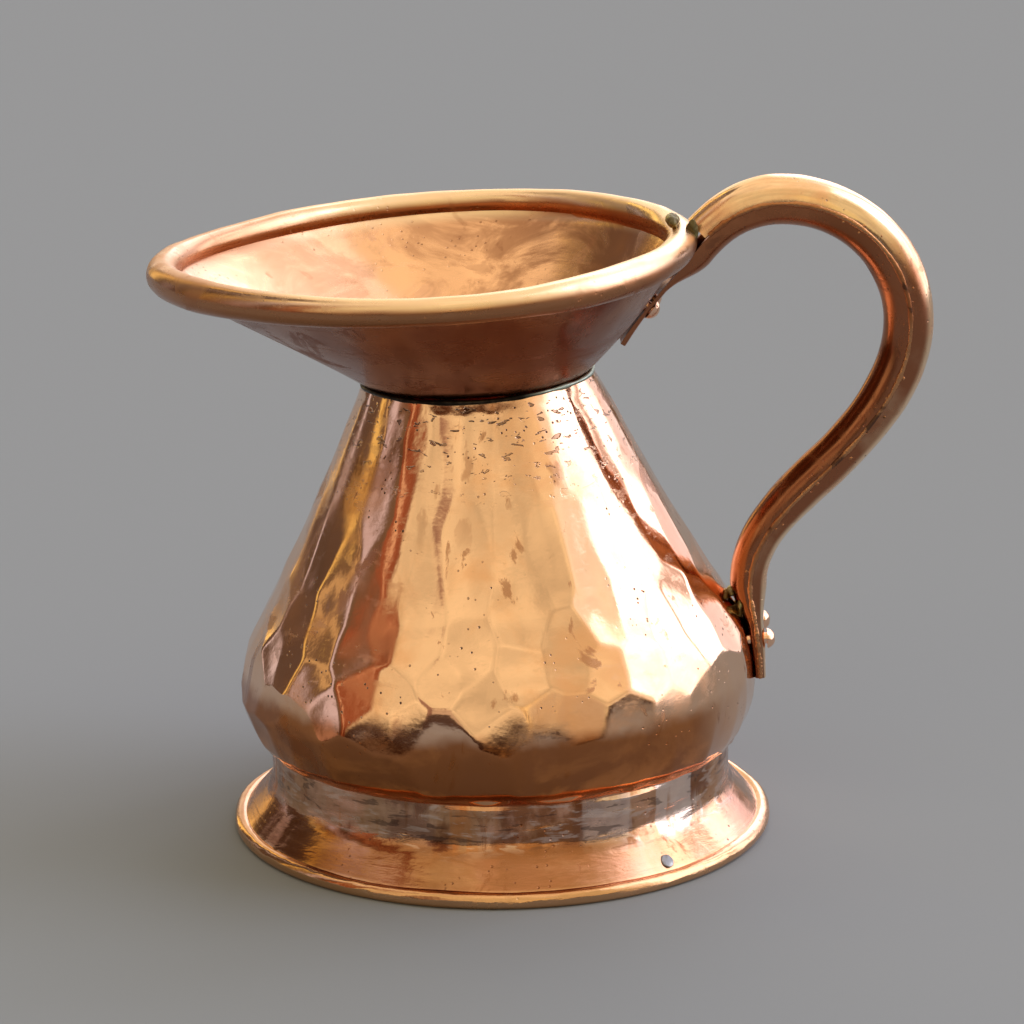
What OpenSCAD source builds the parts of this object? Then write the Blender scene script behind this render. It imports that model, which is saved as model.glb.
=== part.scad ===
// Haystack measure: a quart pouring jug in hammered copper.
// Origin: centre of the foot, on the surface that it stands on. +Z is up,
// the spout points along -X and the handle along +X. Everything above the
// widest part of the body leans a little towards the spout, so those pieces
// are drawn upright, in the body's own frame, and tilted together.

/* [Sheet and wire] */
// Thickness of the copper sheet of the body, the funnel and the foot
sheet_t = 1; // [0.6:0.1:1.6]
// Thickness of the two strips that the handle is made from
strip_t = 1.6; // [1:0.1:2.4]
// Outside radius of the rolled rim
rim_roll_r = 4; // [2.5:0.1:5.5]
// Outside radius of the rolled edge of the foot
foot_roll_r = 2.3; // [1.8:0.1:3.5]

/* [Foot] */
// Outside diameter over the rolled edge of the foot
foot_d = 151; // [136:1:182]
// Height of the foot, from the surface up to the body
foot_h = 25.4; // [18:0.1:36]
// Outside radius of the upright wall of the foot, at its top
foot_wall_r = 64; // [56:0.5:70]
// Radius of the hollow curve between the wall and the flange
foot_curve_r = 9; // [5:0.5:12]
// Height at which the upright wall starts to curve out into the flange
foot_curve_h = 16.33; // [14:0.01:17.5]
// Depth that the underside of the rolled edge is worn flat
foot_wear = 0.2; // [0.1:0.05:0.4]
// Turn of the sheet around the foot's wire, in degrees
foot_curl = 300; // [270:1:310]
// Depth of the body's collar inside the foot
collar_h = 12; // [8:0.5:15]

/* [Body] */
// Radius of the body where it is widest
bulge_r = 71.4; // [66:0.1:86]
// Height of the widest part of the body
bulge_h = 41; // [37:0.5:50]
// Radius of the curve below the widest part, seen from the side
tuck_r = 21; // [16:0.5:30]
// Radius of the curve above the widest part, seen from the side
shoulder_r = 38; // [28:0.5:50]
// Slope of the flank where it leaves the shoulder, in degrees from upright
flank_slope = 29.7; // [22:0.1:36]
// Radius of the neck
neck_r = 31.65; // [26:0.05:40]
// Height of the neck
neck_h = 128; // [105:0.5:155]
// Lean of the body towards the spout, in degrees
lean = 3; // [0:0.1:5]
// Sideways offset of the body's axis where the lean starts
lean_x = -0.8; // [-2:0.1:2]

/* [Funnel] */
// Height of the rim
rim_h = 162.2; // [140:0.1:195]
// Reach of the spout from the body's axis
spout_reach = 83.4; // [70:0.1:100]
// Reach of the back of the rim from the body's axis
back_reach = 57.8; // [48:0.1:68]
// Half of the width of the rim
rim_half_w = 72.9; // [60:0.1:88]
// How much fuller the back half of the rim is than the spout half
rim_egg = 0.108; // [0:0.001:0.2]
// How much the rim narrows towards both of its ends
rim_pinch = 0.095; // [0:0.001:0.2]
// Outward belly of the funnel's back wall
funnel_belly = 1.7; // [0:0.1:4]
// Depth of the funnel's collar inside the neck
neck_lap = 5; // [3:0.5:9]
// Turn of the sheet around the rim wire, in degrees
rim_curl = 335; // [270:1:340]

/* [Handle] */
// Outside radius of the handle's tube
tube_r = 6.7; // [5:0.1:8.5]
// Radius of the tube at its heel, where it starts to flatten
heel_r = 5; // [4:0.1:7]
// Height of the top of the arch's middle line above the rim
arch_rise = 9; // [4:0.5:20]
// Distance of the arch's top from the body's axis
arch_x = 83.5; // [76:0.5:95]
// Furthest reach of the handle's middle line from the body's axis
grip_reach = 118.5; // [105:0.5:135]
// Height where the handle reaches furthest
grip_h = 137; // [115:1:150]
// Distance from the axis of the middle of the straight lower stretch
slant_x = 95.7; // [88:0.1:105]
// Height of the middle of the straight lower stretch
slant_h = 97.6; // [85:0.1:110]
// Height of the heel, where the handle comes down to the body
heel_h = 64.6; // [60:0.1:75]
// Gap between the heel and the body
heel_gap = 2.7; // [1.5:0.1:4]
// Height of the lower tang's end
tang_foot_h = 37.8; // [34:0.1:44]
// Half of the width of the tangs
tang_half_w = 7; // [5:0.1:9]
// Length of the upper tang, up to the rolled rim
tang_len = 32; // [24:0.5:34]

/* [Rivets and plug] */
// Radius of a rivet's shank
rivet_r = 1.6; // [1.2:0.1:2]
// Radius of a rivet's domed head
head_r = 2.9; // [2.4:0.1:3.4]
// Height of a rivet's domed head
head_h = 2.3; // [1.5:0.1:2.9]
// Sideways distance of each rivet from the handle's middle
rivet_y = 4; // [3.3:0.1:5]
// Height of the nearer lower rivet
lower_rivet_h = 48.6; // [46:0.1:52]
// How much higher the further lower rivet sits
rivet_step = 3; // [0:0.1:4]
// Distance of the nearer upper rivet from the upper tang's end
upper_rivet_s = 12; // [7:0.5:16]
// Radius of the blank plug in the flange of the foot
plug_r = 2; // [1:0.1:2.5]
// Direction of the plug, in degrees from the handle towards the front
plug_turn = 51; // [20:1:120]

/* [Fits] */
// Clearance left for solder or braze between pieces that sit in each other
fit_gap = 0.05; // [0.02:0.01:0.1]
// Gap between a tang and the sheet that it is riveted to
tang_gap = 0.9; // [0.3:0.1:1.5]
// Half of the gap in the handle's brazed seam
seam_gap = 0.15; // [0.1:0.05:0.3]

/* [Hidden] */
$fn = 96;

arc_steps = 10;      // straight pieces in each quarter of the body's profile
rim_steps = 64;      // stations around the rim
curl_steps = 16;     // stations around the rolled edge
wire_steps = 12;     // sides of the rim wire
bore_steps = 24;     // sides of a rivet's bore
path_steps = 7;      // stations along each stretch of the handle
half_steps = 7;      // points across each half of the handle's section

copper = "peru";
dark_copper = "sienna";
solder = "darkkhaki";

// ---------------------------------------------------------------- helpers

function lerp(a, b, u) = a + (b - a) * u;
function ease(u) = u * u * (3 - 2 * u);
function polar(r, angle) = [r * cos(angle), r * sin(angle)];
function left_of(d) = [-d[1], d[0]];

// A point on the smooth curve between two keys, each [place, heading, ...]
function curve(p, dp, q, dq, u) =
    (2 * pow(u, 3) - 3 * pow(u, 2) + 1) * p + (pow(u, 3) - 2 * pow(u, 2) + u) * dp
    + (3 * pow(u, 2) - 2 * pow(u, 3)) * q + (pow(u, 3) - pow(u, 2)) * dq;

// A solid through a row of loops that all have the same number of points. Each
// loop runs out along one side of its section and back along the other, so a
// cap is a band between the two sides.
module loft(rings, closed = false) {
    count = len(rings[0]);
    last = len(rings) - 1;
    band = [for (j = [0:count / 2 - 2]) [j, j + 1, count - 2 - j, count - 1 - j]];
    sides = [
        for (i = [0:closed ? last : last - 1], j = [0:count - 1])
            let (k = (j + 1) % count, next = (i + 1) % len(rings))
                each [
                    [i * count + j, next * count + k, i * count + k],
                    [i * count + j, next * count + j, next * count + k]
                ]
    ];
    caps = closed ? [] : [
        for (b = band) each [
            [b[0], b[1], b[2]], [b[0], b[2], b[3]],
            [last * count + b[2], last * count + b[1], last * count + b[0]],
            [last * count + b[3], last * count + b[2], last * count + b[0]]
        ]
    ];
    polyhedron([for (ring = rings) each ring], concat(sides, caps), convexity = 10);
}

// Tilts a piece from the body's own frame into place
module leaned() {
    translate([lean_x, 0, bulge_h]) rotate([0, -lean, 0]) translate([0, 0, -bulge_h]) children();
}

// ------------------------------------------------------- profile of the body

shoulder_end = [bulge_r - shoulder_r, bulge_h] + polar(shoulder_r, flank_slope);
flank_h = neck_h - shoulder_end[1];
flank_curve = (neck_r - shoulder_end[0] + tan(flank_slope) * flank_h) / pow(flank_h, 2);

function flank_r(z) =
    let (dz = z - shoulder_end[1]) shoulder_end[0] - tan(flank_slope) * dz + flank_curve * dz * dz;
function flank_lean(z) = -tan(flank_slope) + 2 * flank_curve * (z - shoulder_end[1]);
function flank_inner_r(z) = flank_r(z) - sheet_t * norm([1, flank_lean(z)]);
function upper_arc_r(z) = bulge_r - shoulder_r + sqrt(pow(shoulder_r, 2) - pow(z - bulge_h, 2));
function body_r(z) = z > shoulder_end[1] ? flank_r(z) : upper_arc_r(z);

collar_r = foot_wall_r - sheet_t - fit_gap;
collar_z = foot_h - collar_h;
tuck_angle = asin((bulge_h - foot_h) / tuck_r);
upper_start = -2 * lean;
seam_step = 0.1;        // how far the lower part's top edge stands proud

// Half section of the body above its widest part, in the leaning frame
module upper_profile() {
    outer = concat(
        [for (i = [0:arc_steps]) [bulge_r - shoulder_r, bulge_h]
            + polar(shoulder_r, lerp(upper_start, flank_slope, i / arc_steps))],
        [for (i = [1:arc_steps]) let (z = lerp(shoulder_end[1], neck_h, i / arc_steps)) [flank_r(z), z]]
    );
    inner = concat(
        [for (i = [arc_steps:-1:1]) let (z = lerp(shoulder_end[1], neck_h, i / arc_steps))
            [flank_inner_r(z), z]],
        [for (i = [arc_steps:-1:0]) [bulge_r - shoulder_r, bulge_h]
            + polar(shoulder_r - sheet_t, lerp(upper_start, flank_slope, i / arc_steps))]
    );
    polygon(concat(outer, inner));
}

// Half section of the body below its widest part, with the collar in the foot.
// Its top edge stands proud of the leaning part that it joins, all the way around
module lower_profile() {
    centre = [bulge_r - tuck_r, bulge_h];
    inner_angle = asin((bulge_h - foot_h - sheet_t) / (tuck_r - sheet_t));
    outer = [for (i = [0:arc_steps - 1]) centre + polar(tuck_r, lerp(-tuck_angle, 0, i / arc_steps))];
    inner = [for (i = [1:arc_steps]) centre + polar(tuck_r - sheet_t, lerp(0, -inner_angle, i / arc_steps))];
    edge = [[bulge_r + seam_step, bulge_h], [bulge_r - sheet_t - 2 * seam_step, bulge_h]];
    polygon(concat(
        [[collar_r, collar_z], [collar_r, foot_h]], outer, edge, inner,
        [[collar_r - sheet_t, foot_h + sheet_t], [collar_r - sheet_t, collar_z]]
    ));
}

module body_wall() {
    wide = 2 * bulge_r + foot_d;
    color(copper) difference() {
        union() {
            translate([lean_x, 0, 0]) rotate_extrude() lower_profile();
            difference() {
                leaned() rotate_extrude() upper_profile();
                translate([-wide / 2, -wide / 2, bulge_h - wide]) cube(wide);
            }
        }
        leaned() lower_rivet_bores();
    }
}

// ------------------------------------------------------------ base and foot

base_t = 1.2;
base_set = 4;           // height of the base above the collar's lower edge
base_r = collar_r - sheet_t - fit_gap;
base_top = collar_z + base_set;
fillet = 1.6;           // size of the solder fillets under the base and the collar
plug_margin = 0.4;      // distance of the plug from the rolled edge
plug_proud = 0.15;      // how far the plug stands out of the flange
plug_under = 0.4;       // how far it reaches out below
foot_roll = [foot_d / 2 - foot_roll_r, foot_roll_r - foot_wear];
foot_wire_r = foot_roll_r - sheet_t;

// The middle of the flange leaves the curve as a tangent and points at the middle
// of the roll, which fixes its slope
curve_centre = [foot_wall_r - sheet_t / 2 + foot_curve_r, foot_curve_h];
flange_reach = foot_roll - curve_centre;
flange_len = sqrt(pow(norm(flange_reach), 2) - pow(foot_curve_r, 2));
flange_slope = -atan2(flange_reach[1], flange_reach[0]) - asin(foot_curve_r / norm(flange_reach));
curve_turn = 90 - flange_slope;
flange_dir = polar(1, -flange_slope);
curve_end = curve_centre + polar(foot_curve_r, 180 + curve_turn);

module base_disc() {
    color(dark_copper) translate([lean_x, 0, 0]) rotate_extrude() polygon([
        [0, base_top - base_t], [base_r - base_t, base_top - base_t],
        [base_r - base_t, collar_z], [base_r, collar_z], [base_r, base_top], [0, base_top]
    ]);
}

// A point on the rolled edge; the part that would reach below the floor is worn off
function foot_roll_point(r, angle) =
    let (p = foot_roll + polar(r, angle)) [p[0], max(p[1], 0)];

module foot_profile() {
    back = 180 - flange_slope;
    top = back - asin(sheet_t / 2 / foot_roll_r);
    under = back + asin(sheet_t / 2 / foot_wire_r);
    lip = top - foot_curl;
    turn = [for (i = [0:arc_steps]) lerp(180, 180 + curve_turn, i / arc_steps)];
    outer = [for (angle = turn) curve_centre + polar(foot_curve_r - sheet_t / 2, angle)];
    inner = [for (i = [arc_steps:-1:0]) curve_centre + polar(foot_curve_r + sheet_t / 2, turn[i])];
    polygon(concat(
        [[foot_wall_r - sheet_t, foot_h], [foot_wall_r, foot_h]], outer,
        [for (i = [0:curl_steps]) foot_roll_point(foot_roll_r, lerp(top, lip, i / curl_steps))],
        [for (i = [0:curl_steps]) foot_roll_point(foot_wire_r, lerp(lip, under, i / curl_steps))],
        inner
    ));
}

module at_plug() {
    middle = curve_end + left_of(flange_dir) * sheet_t / 2
        + flange_dir * (flange_len - foot_roll_r - plug_r - plug_margin);
    rotate([0, 0, -plug_turn]) translate([middle[0], 0, middle[1]]) rotate([0, 90 - flange_slope, 0])
        children();
}

module foot_ring() {
    color(copper) difference() {
        rotate_extrude() foot_profile();
        at_plug() translate([0, 0, -3 * sheet_t]) cylinder(r = plug_r, h = 6 * sheet_t);
    }
}

module foot_wire() {
    color(dark_copper) rotate_extrude() translate(foot_roll) circle(r = foot_wire_r - fit_gap);
}

// A plain lead plug, riveted over at both ends in real life
module foot_plug() {
    color("dimgray") at_plug() translate([0, 0, -sheet_t - plug_under])
        cylinder(r = plug_r - fit_gap / 2, h = sheet_t + plug_under + plug_proud);
}

module foot_solder() {
    outer = foot_wall_r - sheet_t - fit_gap / 2;
    color(solder) rotate_extrude() polygon([
        [outer - fillet / 2, collar_z - fillet], [outer, collar_z - fillet],
        [outer, collar_z - fit_gap], [outer - fillet, collar_z - fit_gap]
    ]);
}

module base_solder() {
    inner = base_r - base_t - fit_gap;
    under = base_top - base_t - fit_gap;
    color(solder) translate([lean_x, 0, 0]) rotate_extrude()
        polygon([[inner, under], [inner - fillet, under], [inner, under - fillet]]);
}

// ------------------------------------------------------------------- funnel

rim_mid_x = (back_reach - spout_reach) / 2;
rim_half_l = (back_reach + spout_reach) / 2;
rim_wire_r = rim_roll_r - sheet_t;
collar_top_r = flank_inner_r(neck_h) - fit_gap;
collar_low_r = flank_inner_r(neck_h - neck_lap) - fit_gap;

function rim_point(t) = [
    rim_mid_x + rim_half_l * cos(t),
    rim_half_w * sin(t) * (1 + rim_egg * cos(t) - rim_pinch * pow(cos(t), 2))
];
function rim_normal(t) =
    let (step = 0.05, along = rim_point(t + step) - rim_point(t - step)) [along[1], -along[0]] / norm(along);
function lift(flat, z) = [flat[0], flat[1], z];

// The plane through the neck and the rim at one station: [neck, outward, run, rise]
function station(t) =
    let (neck = polar(collar_top_r - sheet_t / 2, t), span = rim_point(t) - neck)
        [neck, span / norm(span), norm(span), rim_h - neck_h - sheet_t / 2];
function wall_angle(t) = let (s = station(t)) atan2(s[3], s[2]);
function belly(t, u) = -4 * u * (1 - u) * funnel_belly * (1 + cos(t)) / 2;

// A point of the funnel's wall at station t, part way up, and off its middle
function wall_point(t, u, off) =
    let (
        s = station(t), a = wall_angle(t), out = belly(t, u) + off,
        run = s[2] * u - out * sin(a), rise = s[3] * u + out * cos(a)
    ) lift(s[0] + s[1] * run, neck_h + sheet_t / 2 + rise);
function roll_point(t, r, angle) = let (p = polar(r, angle))
    lift(rim_point(t) + rim_normal(t) * p[0], rim_h + p[1]);

function funnel_ring(t) =
    let (
        a = wall_angle(t),
        top = 180 + a - asin(sheet_t / 2 / rim_roll_r),
        under = 180 + a + asin(sheet_t / 2 / rim_wire_r) - 360,
        lip = top - rim_curl,
        ups = [0, 0.25, 0.5, 0.75],
        low_z = neck_h - neck_lap
    ) concat(
        [lift(polar(collar_low_r - sheet_t, t), low_z), lift(polar(collar_top_r - sheet_t, t), neck_h)],
        [for (u = ups) wall_point(t, u, sheet_t / 2)],
        [for (i = [0:curl_steps]) roll_point(t, rim_roll_r, lerp(top, lip, i / curl_steps))],
        [for (i = [0:curl_steps]) roll_point(t, rim_wire_r, lerp(lip, under + 360, i / curl_steps))],
        [for (i = [len(ups) - 1:-1:0]) wall_point(t, ups[i], -sheet_t / 2)],
        [lift(polar(collar_top_r, t), neck_h), lift(polar(collar_low_r, t), low_z)]
    );

module funnel() {
    color(copper) leaned() difference() {
        loft([for (i = [0:rim_steps - 1]) funnel_ring(i * 360 / rim_steps)], closed = true);
        upper_rivet_bores();
    }
}

module rim_wire() {
    color(dark_copper) leaned() loft([
        for (i = [0:rim_steps - 1])
            [for (k = [0:wire_steps - 1])
                roll_point(i * 360 / rim_steps, rim_wire_r - 2 * fit_gap, -k * 360 / wire_steps)]
    ], closed = true);
}

// The solder covers the body's upper edge and runs a little way down its outside
neck_bead = 0.95;       // how far the solder stands out of the neck
neck_run = 1;           // how far it runs down

module neck_solder() {
    low = neck_h - neck_run;
    inner = neck_r - sheet_t / 2;
    color("darkslategray") leaned() rotate_extrude() polygon([
        [inner, neck_h + fit_gap], [neck_r + fit_gap, neck_h + fit_gap],
        [flank_r(low) + fit_gap, low], [neck_r + neck_bead, neck_h - neck_run / 5],
        [neck_r + 0.8 * neck_bead, neck_h + neck_bead / 2], [inner, neck_h + neck_bead / 5]
    ]);
}

// ------------------------------------------------------------------- handle

back_angle = wall_angle(0);
roll_at_back = [back_reach, rim_h];
under_roll = roll_at_back + polar(rim_roll_r + 2 * fit_gap, back_angle - 90);
wall_len = norm([station(0)[2], station(0)[3]]);
tang_start = 1 - tang_len / wall_len;

// The seam face of the upper tang, on the funnel's outside
function on_wall(u) =
    let (p = wall_point(0, u, -sheet_t / 2 - tang_gap)) [p[0], p[2]];
function tang_x(z, hollow) = upper_arc_r(z) + tang_gap + strip_t + seam_gap + hollow;

// The flattened stretches of the handle
tang_hollow = 0.1;      // a trace of the tube's hollow that is left in a flat tang
flare_hollow = 0.7;     // the same, where the lower tang starts
flare_h = 51;           // height where the lower tang starts
toe_taper = 0.6;        // how much narrower each side of the lower tang is at its end
root_squeeze = 0.6;     // how much flatter the tube is where it leaves the rim
slant_squeeze = 0.3;    // how much narrower each side of it is on the lower stretch
slant_hollow = 1.2;     // how much rounder it is there than at the heel
heel_flare = 1.3;       // how much wider each side of the heel is than its radius
bend_at = 0.55;         // part of the upper tang's length where it bends to the wall

// Keys along the handle: place, heading, hollow half height, half width
keys = [
    [on_wall(tang_start), back_angle + 6, tang_hollow, tang_half_w],
    [on_wall(tang_start + bend_at * tang_len / wall_len), back_angle - 3, tang_hollow, tang_half_w],
    [under_roll, back_angle, tube_r - strip_t - root_squeeze, tube_r],
    [[arch_x, rim_h + arch_rise], 0, tube_r - strip_t, tube_r],
    [[grip_reach, grip_h], -90, tube_r - strip_t, tube_r],
    [[slant_x, slant_h], -138, heel_r - strip_t + slant_hollow, tube_r - slant_squeeze],
    [[flank_r(heel_h) + heel_gap + heel_r, heel_h], -93, heel_r - strip_t, heel_r + heel_flare],
    [[tang_x(flare_h, flare_hollow), flare_h], -87, flare_hollow, tang_half_w],
    [[tang_x(tang_foot_h, 0), tang_foot_h], -91, tang_hollow, tang_half_w - toe_taper]
];
back_key = 2;    // the back strip starts here, at the rolled rim

// One station: [place, heading, hollow, half width] at part u of stretch k
round_pull = 0.17;      // extra pull that keeps a quarter turn round
function pull(k) =
    let (turn = abs(keys[k + 1][1] - keys[k][1]))
        norm(keys[k + 1][0] - keys[k][0]) * (1 + round_pull * pow(turn / 90, 2));
function handle_place(k, u) =
    curve(keys[k][0], polar(pull(k), keys[k][1]), keys[k + 1][0], polar(pull(k), keys[k + 1][1]), u);
function handle_heading(k, u) =
    let (step = 0.01, d = handle_place(k, min(u + step, 1)) - handle_place(k, max(u - step, 0))) d / norm(d);
function handle_station(k, u) = [
    handle_place(k, u), handle_heading(k, u),
    lerp(keys[k][2], keys[k + 1][2], ease(u)), lerp(keys[k][3], keys[k + 1][3], ease(u))
];
function stations(first, skip) = concat(
    [for (k = [first:len(keys) - 2], i = [0:path_steps - 1])
        handle_station(k, lerp(k == first ? skip : 0, 1, i / path_steps))],
    [handle_station(len(keys) - 2, 1)]
);

// A point of a station's section: off the seam, and to the side
function section_point(s, off, side) =
    let (p = s[0] + left_of(s[1]) * off) [p[0], side, p[1]];

flat_power = 0.4;       // a lower power gives a flat tang squarer edges

// Half of the handle's section; dir is 1 for the back strip, -1 for the inner
function strip_ring(s, dir) =
    let (
        flat = 1 - min(s[2] / (tube_r - strip_t), 1),
        power = lerp(1, flat_power, flat),
        in_w = s[3] - strip_t,
        arc = [for (i = [0:half_steps]) lerp(-90, 90, i / half_steps)],
        outer = [for (a = arc) section_point(s,
            dir * (seam_gap + (s[2] + strip_t) * pow(abs(cos(a)), power)), s[3] * sin(a))],
        inner = [for (i = [half_steps:-1:0]) let (a = arc[i]) section_point(s,
            dir * (seam_gap + s[2] * pow(abs(cos(a)), power)), in_w * sin(a))]
    ) dir > 0 ? concat(outer, inner) : [for (i = [2 * half_steps + 1:-1:0]) concat(outer, inner)[i]];

braze_proud = 0.35;     // how far the braze stands out of the seam

// The brazed seam, a narrow fin that fills the gap and stands a little proud
function braze_ring(s, side) =
    let (g = seam_gap - fit_gap / 2, in_y = side * (s[3] - strip_t), out_y = side * (s[3] + braze_proud))
        [section_point(s, -side * g, in_y), section_point(s, -side * g, out_y),
         section_point(s, side * g, out_y), section_point(s, side * g, in_y)];

// Part of the back strip's first stretch that the rolled rim takes up, with its clearance
rim_clear = 0.3;        // clearance between the rolled rim and the back strip
back_skip = (rim_roll_r + rim_clear) / norm(keys[back_key + 1][0] - keys[back_key][0]);

module handle_back() {
    color(copper) leaned() difference() {
        loft([for (s = stations(back_key, back_skip)) strip_ring(s, 1)]);
        lower_rivet_bores();
    }
}

module handle_inner() {
    color(dark_copper) leaned() difference() {
        loft([for (s = stations(0, 0)) strip_ring(s, -1)]);
        lower_rivet_bores();
        upper_rivet_bores();
    }
}

module handle_braze() {
    color("goldenrod") leaned() for (side = [-1, 1])
        loft([for (s = stations(back_key, back_skip)) braze_ring(s, side)]);
}

// ------------------------------------------------------------------- rivets

// Places along the two tangs, in the plane of the handle: [x, z, tilt]
function lower_seat(step) =
    let (z = lower_rivet_h + step) [tang_x(z, flare_hollow) + strip_t + seam_gap, z];
function upper_seat(step) =
    let (u = tang_start + (upper_rivet_s + step) / wall_len,
         p = wall_point(0, u, -sheet_t / 2 - tang_gap - seam_gap - strip_t)) [p[0], p[2]];

module at_lower(side) {
    seat = lower_seat(side > 0 ? rivet_step : 0);
    translate([seat[0], side * rivet_y, seat[1]]) rotate([0, 90, 0]) children();
}

module at_upper(side) {
    seat = upper_seat(side > 0 ? rivet_step / 2 : 0);
    translate([seat[0], side * rivet_y, seat[1]]) rotate([0, 180 - back_angle, 0]) children();
}

lower_grip = 2 * (strip_t + seam_gap + flare_hollow) + tang_gap + sheet_t;
upper_grip = strip_t + 3 * seam_gap + tang_gap + sheet_t;
burr_h = 0.8;           // height of the hammered burr at a rivet's far end
burr_step = 0.5;        // how much smaller than the head the burr is

bore_run = 3;           // how far a bore runs past both ends of its rivet's grip

module bore(grip) {
    translate([0, 0, -grip - bore_run])
        cylinder(r = rivet_r + fit_gap / 2, h = grip + 2 * bore_run, $fn = bore_steps);
}

module lower_rivet_bores() {
    for (side = [-1, 1]) at_lower(side) bore(lower_grip);
}

module upper_rivet_bores() {
    for (side = [-1, 1]) at_upper(side) bore(upper_grip);
}

// A domed head on a straight shank, hammered to a flat burr at the far end
module rivet(grip) {
    dome_r = (pow(head_r, 2) + pow(head_h, 2)) / (2 * head_h);
    color(copper) {
        rotate_extrude() intersection() {
            translate([0, head_h - dome_r]) circle(r = dome_r);
            square([head_r + 1, head_h + 1]);
        }
        translate([0, 0, -grip]) cylinder(r = rivet_r, h = grip);
        translate([0, 0, -grip - burr_h]) cylinder(r = head_r - burr_step, h = burr_h);
    }
}

module lower_rivet(side) {
    leaned() at_lower(side) rivet(lower_grip);
}

module upper_rivet(side) {
    leaned() at_upper(side) rivet(upper_grip);
}

// ------------------------------------------------------------ handle solder

// A rounded bead of solder that lies across the handle
module bead(r, length) {
    rotate([90, 0, 0]) cylinder(r = r, h = length, center = true);
    for (side = [-1, 1]) translate([0, side * length / 2, 0]) sphere(r = r);
}

rim_bead_r = 1.7;       // radius of the bead between the rim and the handle
rim_bead_len = 1.3 * tube_r;
heel_bead_r = 1.1;      // radius of the bead between the body and the heel
heel_bead_len = 1.2 * heel_r;
heel_bead_drop = 2.6;   // how far below the heel it sits
heel_bead_off = 1.12;   // distance of its middle from the body, in radii

module upper_handle_solder() {
    along = rim_roll_r + rim_clear - rim_bead_r;
    off = sqrt(pow(rim_roll_r + rim_bead_r, 2) - pow(along, 2));
    place = roll_at_back + polar(along, back_angle) + polar(off, back_angle + 90);
    color(solder) leaned() translate([place[0], 0, place[1]]) bead(rim_bead_r, rim_bead_len);
}

module lower_handle_solder() {
    z = heel_h - heel_bead_drop;
    x = flank_r(z) + heel_bead_off * heel_bead_r;
    color(solder) leaned() translate([x, 0, z]) bead(heel_bead_r, heel_bead_len);
}

body_wall();
base_disc();
foot_ring();
foot_wire();
foot_plug();
funnel();
rim_wire();
neck_solder();
foot_solder();
base_solder();
handle_back();
handle_inner();
handle_braze();
upper_rivet(-1);  // upper_rivet_near
upper_rivet(1);  // upper_rivet_far
lower_rivet(-1);  // lower_rivet_near
lower_rivet(1);  // lower_rivet_far
upper_handle_solder();
lower_handle_solder();
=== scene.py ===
# %% [markdown]
# # A haystack measure in hammered copper
#
# This lesson dresses a finished CAD model of an old pouring jug. The CAD says where every
# piece is and how big it is. Blender adds what a coppersmith leaves behind: the flats of
# the planishing hammer, wavy solder, worn edges, scratches and tarnish. Every new piece
# stands for one CAD piece and sits in its place. Where it steps a little away from the CAD,
# the text says so.

# %% Load the frame
import math
import random

import bpy
import numpy as np
from mathutils import Matrix, Vector


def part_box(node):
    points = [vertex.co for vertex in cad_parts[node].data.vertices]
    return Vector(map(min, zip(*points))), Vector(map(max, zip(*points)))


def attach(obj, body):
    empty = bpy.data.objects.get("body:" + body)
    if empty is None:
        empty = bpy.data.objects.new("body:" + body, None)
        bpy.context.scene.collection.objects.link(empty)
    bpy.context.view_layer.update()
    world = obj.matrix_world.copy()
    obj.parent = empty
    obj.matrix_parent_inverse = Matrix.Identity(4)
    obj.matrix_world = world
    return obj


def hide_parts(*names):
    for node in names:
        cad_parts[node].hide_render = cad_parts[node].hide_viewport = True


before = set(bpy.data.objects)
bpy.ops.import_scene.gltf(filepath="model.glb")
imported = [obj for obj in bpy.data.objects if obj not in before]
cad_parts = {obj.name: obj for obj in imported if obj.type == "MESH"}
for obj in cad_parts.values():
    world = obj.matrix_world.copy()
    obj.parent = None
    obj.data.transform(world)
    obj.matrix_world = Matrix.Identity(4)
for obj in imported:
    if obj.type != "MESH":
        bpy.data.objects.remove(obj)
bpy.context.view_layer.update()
print("the CAD model has", len(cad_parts), "nodes")

# %% [markdown]
# ## Measures
#
# Lengths are in metres, so a millimetre gets a name of its own. The sizes of the pieces are
# read from the boxes of the CAD nodes. The few curves that a box can't tell, such as the
# radius of the shoulder, are given here with the names that a smith would use.
#
# The jug leans three degrees towards its spout, as a hand-raised vessel does. It is easier to
# model upright, so pieces above the belly are made upright and tilted when they are done.

# %% Sizes from the frame
mm = 0.001
body_low, body_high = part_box("body_wall")
foot_low, foot_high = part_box("foot_ring")
seam_low, seam_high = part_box("neck_solder")

sheet = 1.0 * mm
belly_r = (body_high.y - body_low.y) / 2
belly_h = 41.0 * mm
axis_x = -0.8 * mm
lean = math.radians(3.0)
neck_r = (seam_high.y - seam_low.y) / 2 - 0.95 * mm
neck_h = 128.0 * mm
foot_r = (foot_high.y - foot_low.y) / 2
foot_top = foot_high.z
print(f"belly {2 * belly_r / mm:.1f}, neck {2 * neck_r / mm:.1f}, foot {2 * foot_r / mm:.1f} mm across")


# %% Lean towards the spout
def lean_over(points, share=1.0):
    """Tilts upright points about the belly's middle; share may be a number for each point."""
    turn = lean * np.asarray(share)
    x, z = points[:, 0], points[:, 2] - belly_h
    leaning = points.copy()
    leaning[:, 0] = axis_x + x * np.cos(turn) - z * np.sin(turn)
    leaning[:, 2] = belly_h + x * np.sin(turn) + z * np.cos(turn)
    return leaning


# %% [markdown]
# ## Helpers for shaping
#
# Most pieces of a jug are turned shapes: an outline is drawn point after point by extruding
# a vertex, and the Spin operator carries it around the axis. A closed outline makes a wall
# with a real thickness.


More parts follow.
